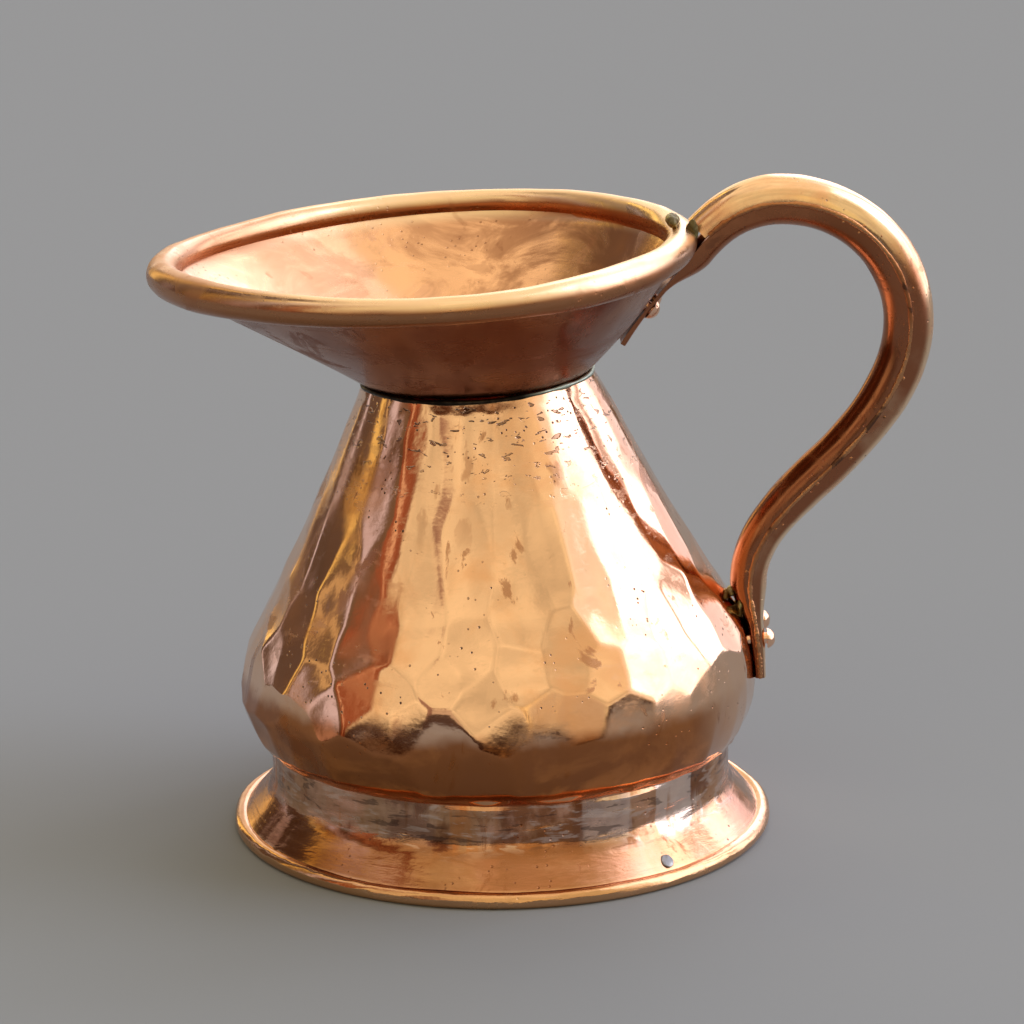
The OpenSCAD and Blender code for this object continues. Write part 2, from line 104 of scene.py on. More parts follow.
# %% Clear the selection
def clear_selection():
    if bpy.context.mode != "OBJECT":
        bpy.ops.object.mode_set(mode="OBJECT")
    bpy.ops.object.select_all(action="DESELECT")


def named(name):
    """Gives the newest piece and its mesh the same name."""
    piece = bpy.context.object
    piece.name = name
    piece.data.name = name
    return piece


def select_only(piece):
    clear_selection()
    piece.select_set(True)
    bpy.context.view_layer.objects.active = piece


# %% Finish a mesh
def tidy_mesh(piece, smooth_angle=40):
    """Merges doubles, turns the faces outwards and shades the piece smooth up to an angle."""
    select_only(piece)
    bpy.ops.object.transform_apply(location=True, rotation=True, scale=True)
    bpy.ops.object.mode_set(mode="EDIT")
    bpy.ops.mesh.select_all(action="SELECT")
    bpy.ops.mesh.remove_doubles(threshold=0.002 * mm)
    bpy.ops.mesh.normals_make_consistent(inside=False)
    bpy.ops.object.mode_set(mode="OBJECT")
    bpy.ops.object.shade_smooth_by_angle(angle=math.radians(smooth_angle))
    print(piece.name, "has", len(piece.data.polygons), "faces")
    return piece


# %% Draw an outline and spin it
def turned(name, outline, steps, middle_x=0.0, closed=True):
    """A turned piece: outline is a list of (radius, height), spun around an upright axis."""
    clear_selection()
    bpy.ops.mesh.primitive_plane_add(size=mm, location=(outline[0][0] + middle_x, 0, outline[0][1]))
    piece = named(name)
    bpy.ops.object.transform_apply(location=True, rotation=True, scale=True)
    bpy.ops.object.mode_set(mode="EDIT")
    bpy.ops.mesh.merge(type="CENTER")
    path = outline + outline[:1] if closed else outline
    for here, there in zip(path, path[1:]):
        step = (there[0] - here[0], 0, there[1] - here[1])
        bpy.ops.mesh.extrude_vertices_move(TRANSFORM_OT_translate={"value": step})
    bpy.ops.mesh.select_all(action="SELECT")
    bpy.ops.mesh.spin(steps=steps, angle=2 * math.pi, center=(middle_x, 0, 0), axis=(0, 0, 1))
    bpy.ops.object.mode_set(mode="OBJECT")
    return tidy_mesh(piece)


# %% Read and write the vertices
def points_of(piece):
    flat = np.empty(len(piece.data.vertices) * 3)
    piece.data.vertices.foreach_get("co", flat)
    return flat.reshape(-1, 3)


def put_points(piece, points):
    piece.data.vertices.foreach_set("co", np.ascontiguousarray(points, float).ravel())
    piece.data.update()


def normals_of(piece):
    flat = np.empty(len(piece.data.vertices) * 3)
    piece.data.vertex_normals.foreach_get("vector", flat)
    return flat.reshape(-1, 3)


# %% Smooth random waves
def waves(points, length, seed, kinds=7):
    """A gentle random field from -1 to 1: a sum of sine waves about one length apart."""
    draw = np.random.RandomState(seed)
    total = np.zeros(len(points))
    for _ in range(kinds):
        way = draw.normal(size=3)
        way *= draw.uniform(0.6, 1.4) / np.linalg.norm(way)
        total += np.sin(points @ way * 2 * math.pi / length + draw.uniform(0, 2 * math.pi))
    return total / math.sqrt(kinds)


def smoothstep(low, high, value):
    part = np.clip((value - low) / (high - low), 0, 1)
    return part * part * (3 - 2 * part)


# %% [markdown]
# ## The marks of the planishing hammer
#
# Planishing is the last hammering of a raised vessel: hundreds of light blows against a
# polished stake. Each blow leaves a flat, and the flats meet in soft ridges. On a curved
# wall of radius R, a flat stands `d * d / 2R` above the round shape at a distance d from its
# middle, so the hammered surface is the lowest of all of these small bowls. A bump map could
# fake the shading, but the outline and the reflections only break up properly when the
# vertices really move. No operator strikes hundreds of blows, so a short function does.


# %% Strike a row of blows
def blow_row(height, count, stretch, seed, jitter=0.33):
    """Blows around the wall at one height: (angle, height, how many times taller than wide)."""
    draw = random.Random(seed)
    pitch = 2 * math.pi / count
    start = draw.uniform(0, pitch)
    return [
        (
            start + (i + draw.uniform(-jitter, jitter)) * pitch,
            height + draw.uniform(-jitter, jitter) * 11 * mm * stretch,
            stretch * draw.uniform(0.85, 1.2),
        )
        for i in range(count)
    ]


def planished(points, blows, curve_r, softness=0.03 * mm):
    """How far each point stands above the round wall, for flats that blend over softness."""
    angle = np.arctan2(points[:, 1], points[:, 0])
    radius = np.hypot(points[:, 1], points[:, 0])
    total = np.zeros(len(points))
    for turn, height, stretch in blows:
        around = (angle - turn + math.pi) % (2 * math.pi) - math.pi
        square = (around * radius) ** 2 + ((points[:, 2] - height) / stretch) ** 2
        total += np.exp(-np.minimum(square / (2 * curve_r) / softness, 600))
    return -softness * np.log(np.maximum(total, 1e-200))


# %% [markdown]
# ## The body
#
# The body is raised from sheet: a tight curve tucks in to the foot, a wide belly turns into a
# shoulder, and a long flank runs up to the neck. The outline is two arcs and one parabola.
# The flats are round on the belly, and the smith drew them out into long upright strokes on
# the flank. Where the body sits in its foot, the edge was tapped down into a wavy lip.

# %% The body's outline
tuck_r = 21.0 * mm
shoulder_r = 38.0 * mm
flank_slope = math.radians(29.7)
collar_r = 62.95 * mm
collar_low = foot_top - 12.0 * mm
shoulder_x = belly_r - shoulder_r + shoulder_r * math.cos(flank_slope)
shoulder_z = belly_h + shoulder_r * math.sin(flank_slope)
flank_h = neck_h - shoulder_z
flank_bend = (neck_r - shoulder_x + math.tan(flank_slope) * flank_h) / flank_h ** 2


def flank_r(z):
    rise = z - shoulder_z
    return shoulder_x - math.tan(flank_slope) * rise + flank_bend * rise * rise


def arc_points(middle, radius, start, stop, count):
    return [
        (middle[0] + radius * math.cos(a), middle[1] + radius * math.sin(a))
        for a in np.radians(np.linspace(start, stop, count))
    ]


tuck_turn = math.degrees(math.asin((belly_h - foot_top) / tuck_r))
slope_turn = math.degrees(flank_slope)
outer_wall = (
    arc_points((belly_r - tuck_r, belly_h), tuck_r, -tuck_turn, 0, 24)[:-1]
    + arc_points((belly_r - shoulder_r, belly_h), shoulder_r, 0, slope_turn, 30)
    + [(flank_r(z), z) for z in np.linspace(shoulder_z, neck_h, 92)[1:]]
)
thin = sheet * math.sqrt(1 + math.tan(flank_slope) ** 2)
inner_wall = (
    [(flank_r(z) - thin, z) for z in np.linspace(neck_h, shoulder_z, 9)]
    + arc_points((belly_r - shoulder_r, belly_h), shoulder_r - sheet, slope_turn, 0, 7)[1:]
    + arc_points((belly_r - tuck_r, belly_h), tuck_r - sheet, 0, -tuck_turn, 6)[1:-1]
)
collar = [
    (collar_r - sheet, foot_top + sheet),
    (collar_r - sheet, collar_low),
    (collar_r, collar_low),
    (collar_r, foot_top),
]
body = turned("body_shell", outer_wall + inner_wall + collar, 400)

# %% Hammer the body
blows = (
    blow_row(36 * mm, 34, 0.9, 1)
    + blow_row(48 * mm, 36, 0.9, 2)
    + blow_row(59 * mm, 34, 1.0, 3)
    + blow_row(71 * mm, 33, 1.25, 4)
    + blow_row(87 * mm, 32, 2.2, 5)
    + blow_row(108 * mm, 29, 3.2, 6)
    + blow_row(124 * mm, 27, 2.6, 7)
)


def hammer_body(piece):
    points, normals = points_of(piece), normals_of(piece)
    facing = normals[:, 0] * points[:, 0] + normals[:, 1] * points[:, 1]
    shown = (facing > 0) & (points[:, 2] > foot_top)
    depth = 1.35 - 0.65 * smoothstep(70 * mm, 95 * mm, points[:, 2])
    flats = depth * (planished(points, blows, 78 * mm) - 0.1 * mm)
    sag = 0.22 * mm * waves(points, 62 * mm, 11) + 0.10 * mm * waves(points, 24 * mm, 12)
    upright = points * np.array([1, 1, 0.16])
    strokes = 0.034 * mm * waves(upright, 7 * mm, 13) * smoothstep(60 * mm, 80 * mm, points[:, 2])
    ends = smoothstep(foot_top, foot_top + 5 * mm, points[:, 2])
    ends *= smoothstep(neck_h, neck_h - 4 * mm, points[:, 2])
    lip_z = (points[:, 2] - foot_top) / mm
    ragged = 0.75 + 0.45 * waves(points, 17 * mm, 14) + 0.3 * waves(points, 7 * mm, 15)
    lip = 0.55 * mm * np.clip(ragged, 0.05, 1.5) * np.exp(-((lip_z - 1.3) / 0.8) ** 2)
    shift = (flats + sag + strokes) * ends + lip
    points += normals * np.where(shown, shift, 0)[:, None]
    upper = smoothstep(belly_h - 6 * mm, belly_h + 6 * mm, points[:, 2])
    put_points(piece, lean_over(points, upper))
    print(f"flats stand up to {flats[shown].max() / mm:.2f} mm above the round wall")


hammer_body(body)
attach(body, "root")
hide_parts("body_wall")

# %% [markdown]
# ## The foot
#
# The foot is a skirt with an upright wall, a hollow curve and a sloping flange. Its edge is
# rolled around an iron wire, which makes a strong bead to stand on. Years of standing have
# worn the bead flat underneath. The same Spin makes it, from one closed outline.

# %% The foot's outline
foot_wall_r = 64.0 * mm
hollow_r = 9.0 * mm
roll_r = 2.3 * mm
flange_slope = 48.0
worn = 0.2 * mm
curl_turn = 300.0
bead_middle = (foot_r - roll_r, roll_r - worn)
hollow_turn = 90 - flange_slope
hollow_x = foot_wall_r - sheet / 2 + hollow_r
hollow_end_x = hollow_x - hollow_r * math.cos(math.radians(hollow_turn))
hollow_drop = hollow_r * math.sin(math.radians(hollow_turn))
flange_drop = (bead_middle[0] - hollow_end_x) * math.tan(math.radians(flange_slope))
hollow_z = bead_middle[1] + flange_drop + hollow_drop
bead_wire_r = roll_r - sheet
bead_top = 180 - flange_slope - math.degrees(math.asin(sheet / 2 / roll_r))
bead_under = 180 - flange_slope + math.degrees(math.asin(sheet / 2 / bead_wire_r))
bead_lip = bead_top - curl_turn


def above_floor(points):
    return [(x, max(z, 0.0)) for x, z in points]


foot_wall = [(foot_wall_r, z) for z in np.linspace(foot_top, hollow_z, 18)[:-1]]
foot_outline = (
    foot_wall
    + arc_points((hollow_x, hollow_z), hollow_r - sheet / 2, 180, 180 + hollow_turn, 14)
    + above_floor(arc_points(bead_middle, roll_r, bead_top, bead_lip, 34))
    + above_floor(arc_points(bead_middle, bead_wire_r, bead_lip, bead_under, 16))
    + arc_points((hollow_x, hollow_z), hollow_r + sheet / 2, 180 + hollow_turn, 180, 10)
    + [(foot_wall_r - sheet, foot_top)]
)
foot = turned("foot_skirt", foot_outline, 360)


# %% Dent and scrape the foot
def work_foot(piece):
    points, normals = points_of(piece), normals_of(piece)
    flat_waves = points * np.array([1, 1, 4.0])
    shift = 0.22 * mm * waves(points, 40 * mm, 21) + 0.08 * mm * waves(flat_waves, 16 * mm, 22)
    shift += 0.03 * mm * waves(flat_waves, 6 * mm, 23)
    free = smoothstep(0.6 * mm, 2.5 * mm, points[:, 2])
    free *= smoothstep(foot_top, foot_top - 1.5 * mm, points[:, 2])
    points += normals * (shift * free)[:, None]
    put_points(piece, points)


work_foot(foot)
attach(foot, "root")
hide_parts("foot_ring")

# %% [markdown]
# ## The base
#
# The bottom is a flat disc with a turned-down edge, soldered inside the body's collar. It
# only shows from below and through the mouth, but a turned piece costs very little.

# %% The base pan
base_low, base_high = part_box("base_disc")
base_r = (base_high.y - base_low.y) / 2
base_t = 1.2 * mm
pole_r = 0.15 * mm
base_outline = (
    [(r, base_high.z) for r in np.linspace(pole_r, base_r, 60)]
    + [(base_r, base_low.z), (base_r - base_t, base_low.z)]
    + [(r, base_high.z - base_t) for r in np.linspace(base_r - base_t, pole_r, 60)]
)
base = turned("base_pan", base_outline, 180, axis_x, closed=False)


def fill_poles(piece):
    """Closes the two small holes that the spin leaves at the axis."""
    select_only(piece)
    bpy.ops.object.mode_set(mode="EDIT")
    bpy.ops.mesh.select_all(action="DESELECT")
    bpy.ops.mesh.select_non_manifold()
    bpy.ops.mesh.fill_holes(sides=0)
    bpy.ops.object.mode_set(mode="OBJECT")


fill_poles(base)
tidy_mesh(base)


def dish_base(piece):
    points = points_of(piece)
    reach = np.hypot(points[:, 0] - axis_x, points[:, 1])
    inside = smoothstep(base_r - 2 * mm, base_r - 12 * mm, reach)
    points[:, 2] += inside * (0.2 * mm * waves(points, 45 * mm, 31) + 0.06 * mm * waves(points, 14 * mm, 32))
    put_points(piece, points)


dish_base(base)
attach(base, "root")
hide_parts("base_disc")

# %% [markdown]
# ## Pieces that change their section
#
# The funnel is an egg-shaped ring of closed sections, and a handle strip goes from a half
# tube to a flat tang. A torus primitive is already a ring of closed sections, and a grid is
# a row of them, so either one gives clean four-sided faces. `lofted` adds the primitive with
# the right number of faces and puts every section in its place. A torus takes at most 256
# sections.


# %% Loft through sections
def lofted(name, sections, ring):
    """sections is an array [station, point, xyz]; ring closes the last station to the first."""
    stations, count = sections.shape[:2]
    clear_selection()
    if ring:
        bpy.ops.mesh.primitive_torus_add(major_segments=stations, minor_segments=count)
    else:
        bpy.ops.mesh.primitive_grid_add(x_subdivisions=count, y_subdivisions=stations - 1)
    piece = named(name)
    if ring:
        put_points(piece, sections.reshape(-1, 3))
        return tidy_mesh(piece)
    seamed = np.concatenate([sections, sections[:, :1]], axis=1)
    put_points(piece, seamed.reshape(-1, 3))
    tidy_mesh(piece)
    bpy.ops.object.mode_set(mode="EDIT")
    bpy.ops.mesh.select_all(action="DESELECT")
    bpy.ops.mesh.select_non_manifold()
    bpy.ops.mesh.edge_face_add()
    bpy.ops.object.mode_set(mode="OBJECT")
    return tidy_mesh(piece)


# %% [markdown]
# ## The funnel
#
# Seen from above, the mouth is an egg: blunt at the handle and drawn out at the spout. Its
# edge is rolled outwards around a wire. The outline of the egg is one short formula, and each
# station of the wall runs straight from the neck to the egg.

# %% The egg and its wall
rim_h = 162.2 * mm
spout_reach, back_reach, rim_half_w = 83.4 * mm, 57.8 * mm, 72.9 * mm
egg, pinch = 0.108, 0.095
rim_roll = 4.0 * mm
rim_curl = 335.0
belly_out = 1.7 * mm
lap = 5.0 * mm
inner_neck_r = neck_r - thin * 0.93


def rim_point(t):
    middle, half = (back_reach - spout_reach) / 2, (back_reach + spout_reach) / 2
    wide = rim_half_w * math.sin(t) * (1 + egg * math.cos(t) - pinch * math.cos(t) ** 2)
    return Vector((middle + half * math.cos(t), wide, 0))


def rim_normal(t):
    along = rim_point(t + 0.001) - rim_point(t - 0.001)
    return Vector((along.y, -along.x, 0)).normalized()


def funnel_section(t):
    neck = Vector((math.cos(t), math.sin(t), 0)) * (inner_neck_r - sheet / 2)
    span = rim_point(t) - neck
    out, run, rise = span.normalized(), span.length, rim_h - neck_h - sheet / 2
    slope = math.atan2(rise, run)
    start = neck + Vector((0, 0, neck_h + sheet / 2))

    def wall(u, off):
        bulge = off - 4 * u * (1 - u) * belly_out * (1 + math.cos(t)) / 2
        along = out * (run * u - bulge * math.sin(slope))
        upright = Vector((0, 0, rise * u + bulge * math.cos(slope)))
        return start + along + upright

    def roll(radius, degrees):
        a = math.radians(degrees)
        centre = rim_point(t) + Vector((0, 0, rim_h))
        return centre + rim_normal(t) * (radius * math.cos(a)) + Vector((0, 0, radius * math.sin(a)))

    turn = math.degrees(slope)
    top = 180 + turn - math.degrees(math.asin(sheet / 2 / rim_roll))
    wire_r = rim_roll - sheet
    under = 180 + turn + math.degrees(math.asin(sheet / 2 / wire_r))
    lip = top - rim_curl
    ups = np.linspace(0, 0.9, 26)
    low = Vector((0, 0, neck_h - lap))
    ring = Vector((math.cos(t), math.sin(t), 0))
    return (
        [low + ring * (inner_neck_r + lap * 0.2 - sheet)]
        + [wall(u, sheet / 2) for u in ups]
        + [roll(rim_roll, a) for a in np.linspace(top, lip, 34)]
        + [roll(wire_r, a) for a in np.linspace(lip, under, 12)]
        + [wall(u, -sheet / 2) for u in ups[::-1]]
        + [low + ring * (inner_neck_r + lap * 0.2)]
    )


funnel_stations = 256
sections = np.array([funnel_section(2 * math.pi * i / funnel_stations) for i in range(funnel_stations)])
funnel = lofted("funnel_mouth", sections, ring=True)


# %% Planish the funnel
def work_funnel(piece):
    points, normals = points_of(piece), normals_of(piece)
    up = smoothstep(neck_h, neck_h + 8 * mm, points[:, 2])
    shift = 0.3 * mm * waves(points, 70 * mm, 41) + 0.09 * mm * waves(points, 26 * mm, 42)
    shift += 0.035 * mm * waves(points, 11 * mm, 43)
    shift = np.maximum(shift, -0.45 * mm)
    points += normals * (shift * up)[:, None]
    put_points(piece, lean_over(points))


work_funnel(funnel)
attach(funnel, "root")
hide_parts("funnel")

# %% [markdown]
# ## The handle
#
# The handle is two dished strips brazed edge to edge, with one rough seam down each side. It
# rises from the rim, loops over, comes back to the belly and ends in a riveted tang. Nine
# keys give the line of the seam: a place, a heading and the section there. Smooth curves run
# between the keys, as in the CAD. The lower tang lies a little closer to the body than there.

# %% Keys of the handle
strip = 1.6 * mm
tube_r = 6.7 * mm
heel_r = 5.0 * mm
tang_w = 7.0 * mm
tang_gap = 0.9 * mm
arch_z = 168 * mm
seam_gap = 0.15 * mm
tang_len = 32.0 * mm
back_run = back_reach - (inner_neck_r - sheet / 2)
back_rise = rim_h - neck_h - sheet / 2
back_slope = math.degrees(math.atan2(back_rise, back_run))
wall_len = math.hypot(back_run, back_rise)


def toward(degrees, length=1.0):
    a = math.radians(degrees)
    return np.array([math.cos(a), math.sin(a)]) * length


def on_wall(u):
    foot_of_wall = np.array([inner_neck_r - sheet / 2, neck_h + sheet / 2])
    off = -sheet / 2 - tang_gap - 4 * u * (1 - u) * belly_out
    return foot_of_wall + toward(back_slope, wall_len * u) + toward(back_slope + 90, off)


def tang_x(z, hollow):
    body_x = belly_r - shoulder_r + math.sqrt(shoulder_r ** 2 - (z - belly_h) ** 2)
    return body_x + 0.25 * tang_gap + strip + hollow


tang_start = 1 - tang_len / wall_len
under_roll = np.array([back_reach, rim_h]) + toward(back_slope - 90, rim_roll + 0.1 * mm)
heel = np.array([flank_r(64.6 * mm) + 2.7 * mm + heel_r, 64.6 * mm])
keys = [
    (on_wall(tang_start), back_slope + 6, 0.1 * mm, tang_w),
    (on_wall(tang_start + 0.55 * tang_len / wall_len), back_slope - 3, 0.1 * mm, tang_w),
    (under_roll, back_slope, tube_r - strip - 0.6 * mm, tube_r),
    (np.array([83.5, 171.2]) * mm, 0, tube_r - strip, tube_r),
    (np.array([118.5, 137.0]) * mm, -90, tube_r - strip, tube_r),
    (np.array([95.7, 97.6]) * mm, -138, heel_r - strip + 1.2 * mm, tube_r - 0.3 * mm),
    (heel, -93, heel_r - strip, heel_r + 1.3 * mm),
    (np.array([tang_x(51 * mm, 0.7 * mm), 51 * mm]), -87, 0.7 * mm, tang_w),
    (np.array([tang_x(37.8 * mm, 0), 37.8 * mm]), -91, 0.1 * mm, tang_w - 0.6 * mm),
]


# %% Stations along the handle
def handle_stations(first, skip, steps):
    """Smooth stations [place, heading, hollow, half width] from key first to the end."""
    stations = []
    for k in range(first, len(keys) - 1):
        (p, a, h0, w0), (q, b, h1, w1) = keys[k], keys[k + 1]
        pull = np.linalg.norm(q - p) * (1 + 0.17 * (abs(b - a) / 90) ** 2)
        dp, dq = toward(a, pull), toward(b, pull)
        begin = skip if k == first else 0.0
        for u in np.linspace(begin, 1, steps + 1)[:None if k == len(keys) - 2 else -1]:
            place = (2 * u**3 - 3 * u**2 + 1) * p + (u**3 - 2 * u**2 + u) * dp
            place = place + (3 * u**2 - 2 * u**3) * q + (u**3 - u**2) * dq
            way = (6 * u**2 - 6 * u) * p + (3 * u**2 - 4 * u + 1) * dp
            way = way + (6 * u - 6 * u**2) * q + (3 * u**2 - 2 * u) * dq
            blend = u * u * (3 - 2 * u)
            section = (h0 + (h1 - h0) * blend, w0 + (w1 - w0) * blend)
            stations.append((place, way / np.linalg.norm(way), *section))
    return stations


def section_point(station, off, side):
    place, way = station[0], station[1]
    return (place[0] - way[1] * off, side, place[1] + way[0] * off)


# %% Half of the tube, dished and flattened
def strip_section(station, face):
    """A closed half section; face is 1 for the outer strip and -1 for the inner one."""
    hollow, half_w = station[2], station[3]
    flatness = 1 - min(hollow / (tube_r - strip), 1)
    power = 1 - 0.6 * flatness
    angles = np.radians(np.linspace(-90, 90, 21))
    rim = [(seam_gap + (hollow + strip) * max(math.cos(a), 0) ** power, half_w * math.sin(a)) for a in angles]
    dish = [
        (seam_gap + hollow * max(math.cos(a), 0) ** power, (half_w - strip) * math.sin(a))
        for a in angles[::-2]
    ]
    return [section_point(station, face * off, side) for off, side in rim + dish]


# %% Build the two strips
def work_handle(piece, seed):
    points, normals = points_of(piece), normals_of(piece)
    along = points * np.array([0.7, 1, 0.7])
    shift = 0.13 * mm * waves(along, 30 * mm, seed) + 0.05 * mm * waves(points, 9 * mm, seed + 1)
    points += normals * shift[:, None]
    put_points(piece, lean_over(points))


back_skip = (rim_roll + 0.3 * mm) / np.linalg.norm(keys[3][0] - keys[2][0])
outer_strip = lofted(
    "handle_outer_strip",
    np.array([strip_section(s, 1) for s in handle_stations(2, back_skip, 26)]),
    ring=False,
)
inner_strip = lofted(
    "handle_inner_strip",
    np.array([strip_section(s, -1) for s in handle_stations(0, 0, 26)]),
    ring=False,
)
for piece, node, seed in ((outer_strip, "handle_back", 51), (inner_strip, "handle_inner", 55)):
    work_handle(piece, seed)
    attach(piece, "root")
    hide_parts(node)

# %% [markdown]
# ## The brazed seams
#
# Brass was run into the joint from both sides, and it stands up in beads and spatter. Each
# seam is a small lens-shaped section that follows the handle. Its width and height change
# from station to station, and a few drops sit beside it.


# %% Run the braze along both sides
def braze_section(station, side, height, width):
    half_w = station[3]
    angles = np.radians(np.linspace(0, 360, 12, endpoint=False))
    middle = side * (half_w - 0.25 * mm)
    return [
        section_point(station, width * math.sin(a), middle + side * height * math.cos(a))
        for a in angles
    ]


def braze_seam(name, side, seed):
    draw = random.Random(seed)
    stations = handle_stations(2, back_skip * 1.3, 44)
    heights, widths = [], []
    for i, _ in enumerate(stations):
        swell = 0.5 + 0.5 * math.sin(i * 0.37 + seed) * math.sin(i * 0.11)
        heights.append((0.5 + 0.25 * swell + draw.uniform(-0.07, 0.1)) * mm)
        widths.append((0.55 + 0.35 * swell + draw.uniform(-0.1, 0.14)) * mm)
    sections = [braze_section(s, side, h, w) for s, h, w in zip(stations, heights, widths)]
    piece = lofted(name, np.array(sections), ring=False)
    put_points(piece, lean_over(points_of(piece)))
    return piece


near_seam = braze_seam("braze_near", -1, 61)
far_seam = braze_seam("braze_far", 1, 62)


# %% Spatter beside the seams
def spatter(seed, count):
    draw = random.Random(seed)
    stations = handle_stations(3, 0.0, 20)
    drops = []
    for i in range(count):
        station = stations[draw.randrange(4, len(stations) - 40)]
        side = -1 if draw.random() < 0.6 else 1
        off = draw.uniform(-1, 1) * 2.2 * mm
        drift = 1 - math.sqrt(max(1 - (off / station[3]) ** 2, 0))
        x, y, z = section_point(station, off, side * station[3] * (1 - drift))
        clear_selection()
        size = draw.uniform(0.25, 0.6) * mm
        bpy.ops.mesh.primitive_uv_sphere_add(segments=10, ring_count=6, radius=size)
        drop = bpy.context.object
        bpy.ops.transform.resize(value=(draw.uniform(0.8, 1.6), 0.5, draw.uniform(0.8, 1.4)))
        bpy.ops.object.transform_apply(location=True, rotation=True, scale=True)
        put_points(drop, lean_over(points_of(drop) + np.array([x, y, z])))
        drops.append(drop)
    return drops


drops = spatter(63, 34)
clear_selection()
for drop in drops + [near_seam, far_seam]:
    drop.select_set(True)
bpy.context.view_layer.objects.active = near_seam
bpy.ops.object.join()
braze = bpy.context.object
braze.name = "braze_seams"
bpy.ops.object.shade_smooth_by_angle(angle=math.radians(60))
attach(braze, "root")
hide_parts("handle_braze")

# %% [markdown]
# ## Rivets
#
# Four copper rivets hold the tangs. A rivet is turned like everything else: a domed head, a
# straight shank and a hammered burr at the far end. The head was closed with a hammer too, so
# it gets a few flats. Each rivet's axis is the long direction of its CAD node.

# %% Turn one rivet
head_r, head_h, shank_r = 2.9 * mm, 2.3 * mm, 1.6 * mm
dome_r = (head_r ** 2 + head_h ** 2) / (2 * head_h)
dome_turn = math.degrees(math.asin(head_r / dome_r))


def turned_rivet(name, length):
    """Along +Z, with the underside of its head at z = 0."""
    top = [
        (dome_r * math.sin(a), head_h - dome_r + dome_r * math.cos(a))
        for a in np.radians(np.linspace(1, dome_turn, 12))
    ]
    tail = head_h - length
    shank = [(shank_r, 0), (shank_r, tail + 0.8 * mm)]
    burr = [(head_r - 0.5 * mm, tail + 0.8 * mm), (head_r - 0.6 * mm, tail), (0.05 * mm, tail)]
    rivet = turned(name, top + shank + burr, 40, closed=False)
    fill_poles(rivet)
    return tidy_mesh(rivet, 50)


# %% Place the four rivets
def long_axis(node):
    cloud = points_of(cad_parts[node])
    centre = (cloud.max(0) + cloud.min(0)) / 2
    axis = np.linalg.svd(cloud - cloud.mean(0), full_matrices=False)[2][0]
    reach = (cloud - centre) @ axis
    return Vector(centre), Vector(axis), reach.max() - reach.min()


def place_rivet(node, outward, seed):
    centre, axis, length = long_axis(node)
    if axis.dot(outward) < 0:
        axis = -axis
    rivet = turned_rivet(node + "_turned", length)
    points = points_of(rivet)
    draw = np.random.RandomState(seed)
    for _ in range(9):
        way = draw.normal(size=3)
        way[2] = abs(way[2]) + 0.4
        way /= np.linalg.norm(way)
        limit = dome_r * draw.uniform(0.93, 0.975)
        middle = np.array([0, 0, head_h - dome_r])
        reach = (points - middle) @ way
        over = np.where(points[:, 2] > 0.02 * mm, np.maximum(reach - limit, 0), 0)
        points -= over[:, None] * way
    put_points(rivet, points)
    middle = centre + axis * (length / 2 - head_h)
    turn = Vector((0, 0, 1)).rotation_difference(axis).to_matrix().to_4x4()
    rivet.matrix_world = Matrix.Translation(middle) @ turn
    select_only(rivet)
    bpy.ops.object.transform_apply(location=True, rotation=True, scale=True)
    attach(rivet, "root")
    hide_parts(node)
    return rivet


rivets = [
    place_rivet("lower_rivet_near", Vector((1, 0, 0)), 71),
    place_rivet("lower_rivet_far", Vector((1, 0, 0)), 72),
    place_rivet("upper_rivet_near", Vector((1, 0, -1)), 73),
    place_rivet("upper_rivet_far", Vector((1, 0, -1)), 74),
]

# %% [markdown]
# ## Solder
#
# Soft solder closes the seam at the neck, and two lumps of hard solder steady the handle. A
# lump starts as a sphere of the size of its CAD node, and smooth random waves make it uneven.
# A smaller run of solder, which the CAD doesn't have, creeps from it along the joint. The seam
# at the neck is a thin torus with a wandering edge.


# %% A lump of solder
def blob(middle, size, seed):
    clear_selection()
    bpy.ops.mesh.primitive_ico_sphere_add(subdivisions=5, radius=0.5, location=middle)
    piece = bpy.context.object
    bpy.ops.transform.resize(value=tuple(size))
    bpy.ops.object.transform_apply(location=True, rotation=True, scale=True)
    points = points_of(piece)
    shift = 0.22 * mm * waves(points, 4 * mm, seed) + 0.1 * mm * waves(points, 1.6 * mm, seed + 1)
    put_points(piece, points + normals_of(piece) * shift[:, None])
    return piece


def lump(name, node, seed, run_middle, run_size):
    """The lump of the CAD, and a run of the same solder that has crept along the joint."""
    low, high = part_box(node)
    crept = lean_over(np.array([run_middle]))[0]
    blobs = [blob((low + high) / 2, high - low, seed), blob(crept, run_size, seed + 4)]
    clear_selection()
    for part in blobs:
        part.select_set(True)
    bpy.context.view_layer.objects.active = blobs[0]
    bpy.ops.object.join()
    piece = named(name)
    tidy_mesh(piece, 60)
    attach(piece, "root")
    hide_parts(node)
    return piece


root = np.array([back_reach, rim_h]) + toward(back_slope, rim_roll + 0.6 * mm)
rim_lump = lump(
    "rim_solder", "upper_handle_solder", 81,
    (root[0], -tube_r, root[1]), (3.4 * mm, 3.0 * mm, 5.4 * mm),
)
run_h = 57.5 * mm
run_x = belly_r - shoulder_r + math.sqrt(shoulder_r ** 2 - (run_h - belly_h) ** 2) + 0.7 * mm
heel_lump = lump(
    "heel_solder", "lower_handle_solder", 83,
    (run_x, 0, run_h), (2.0 * mm, 12.5 * mm, 10 * mm),
)

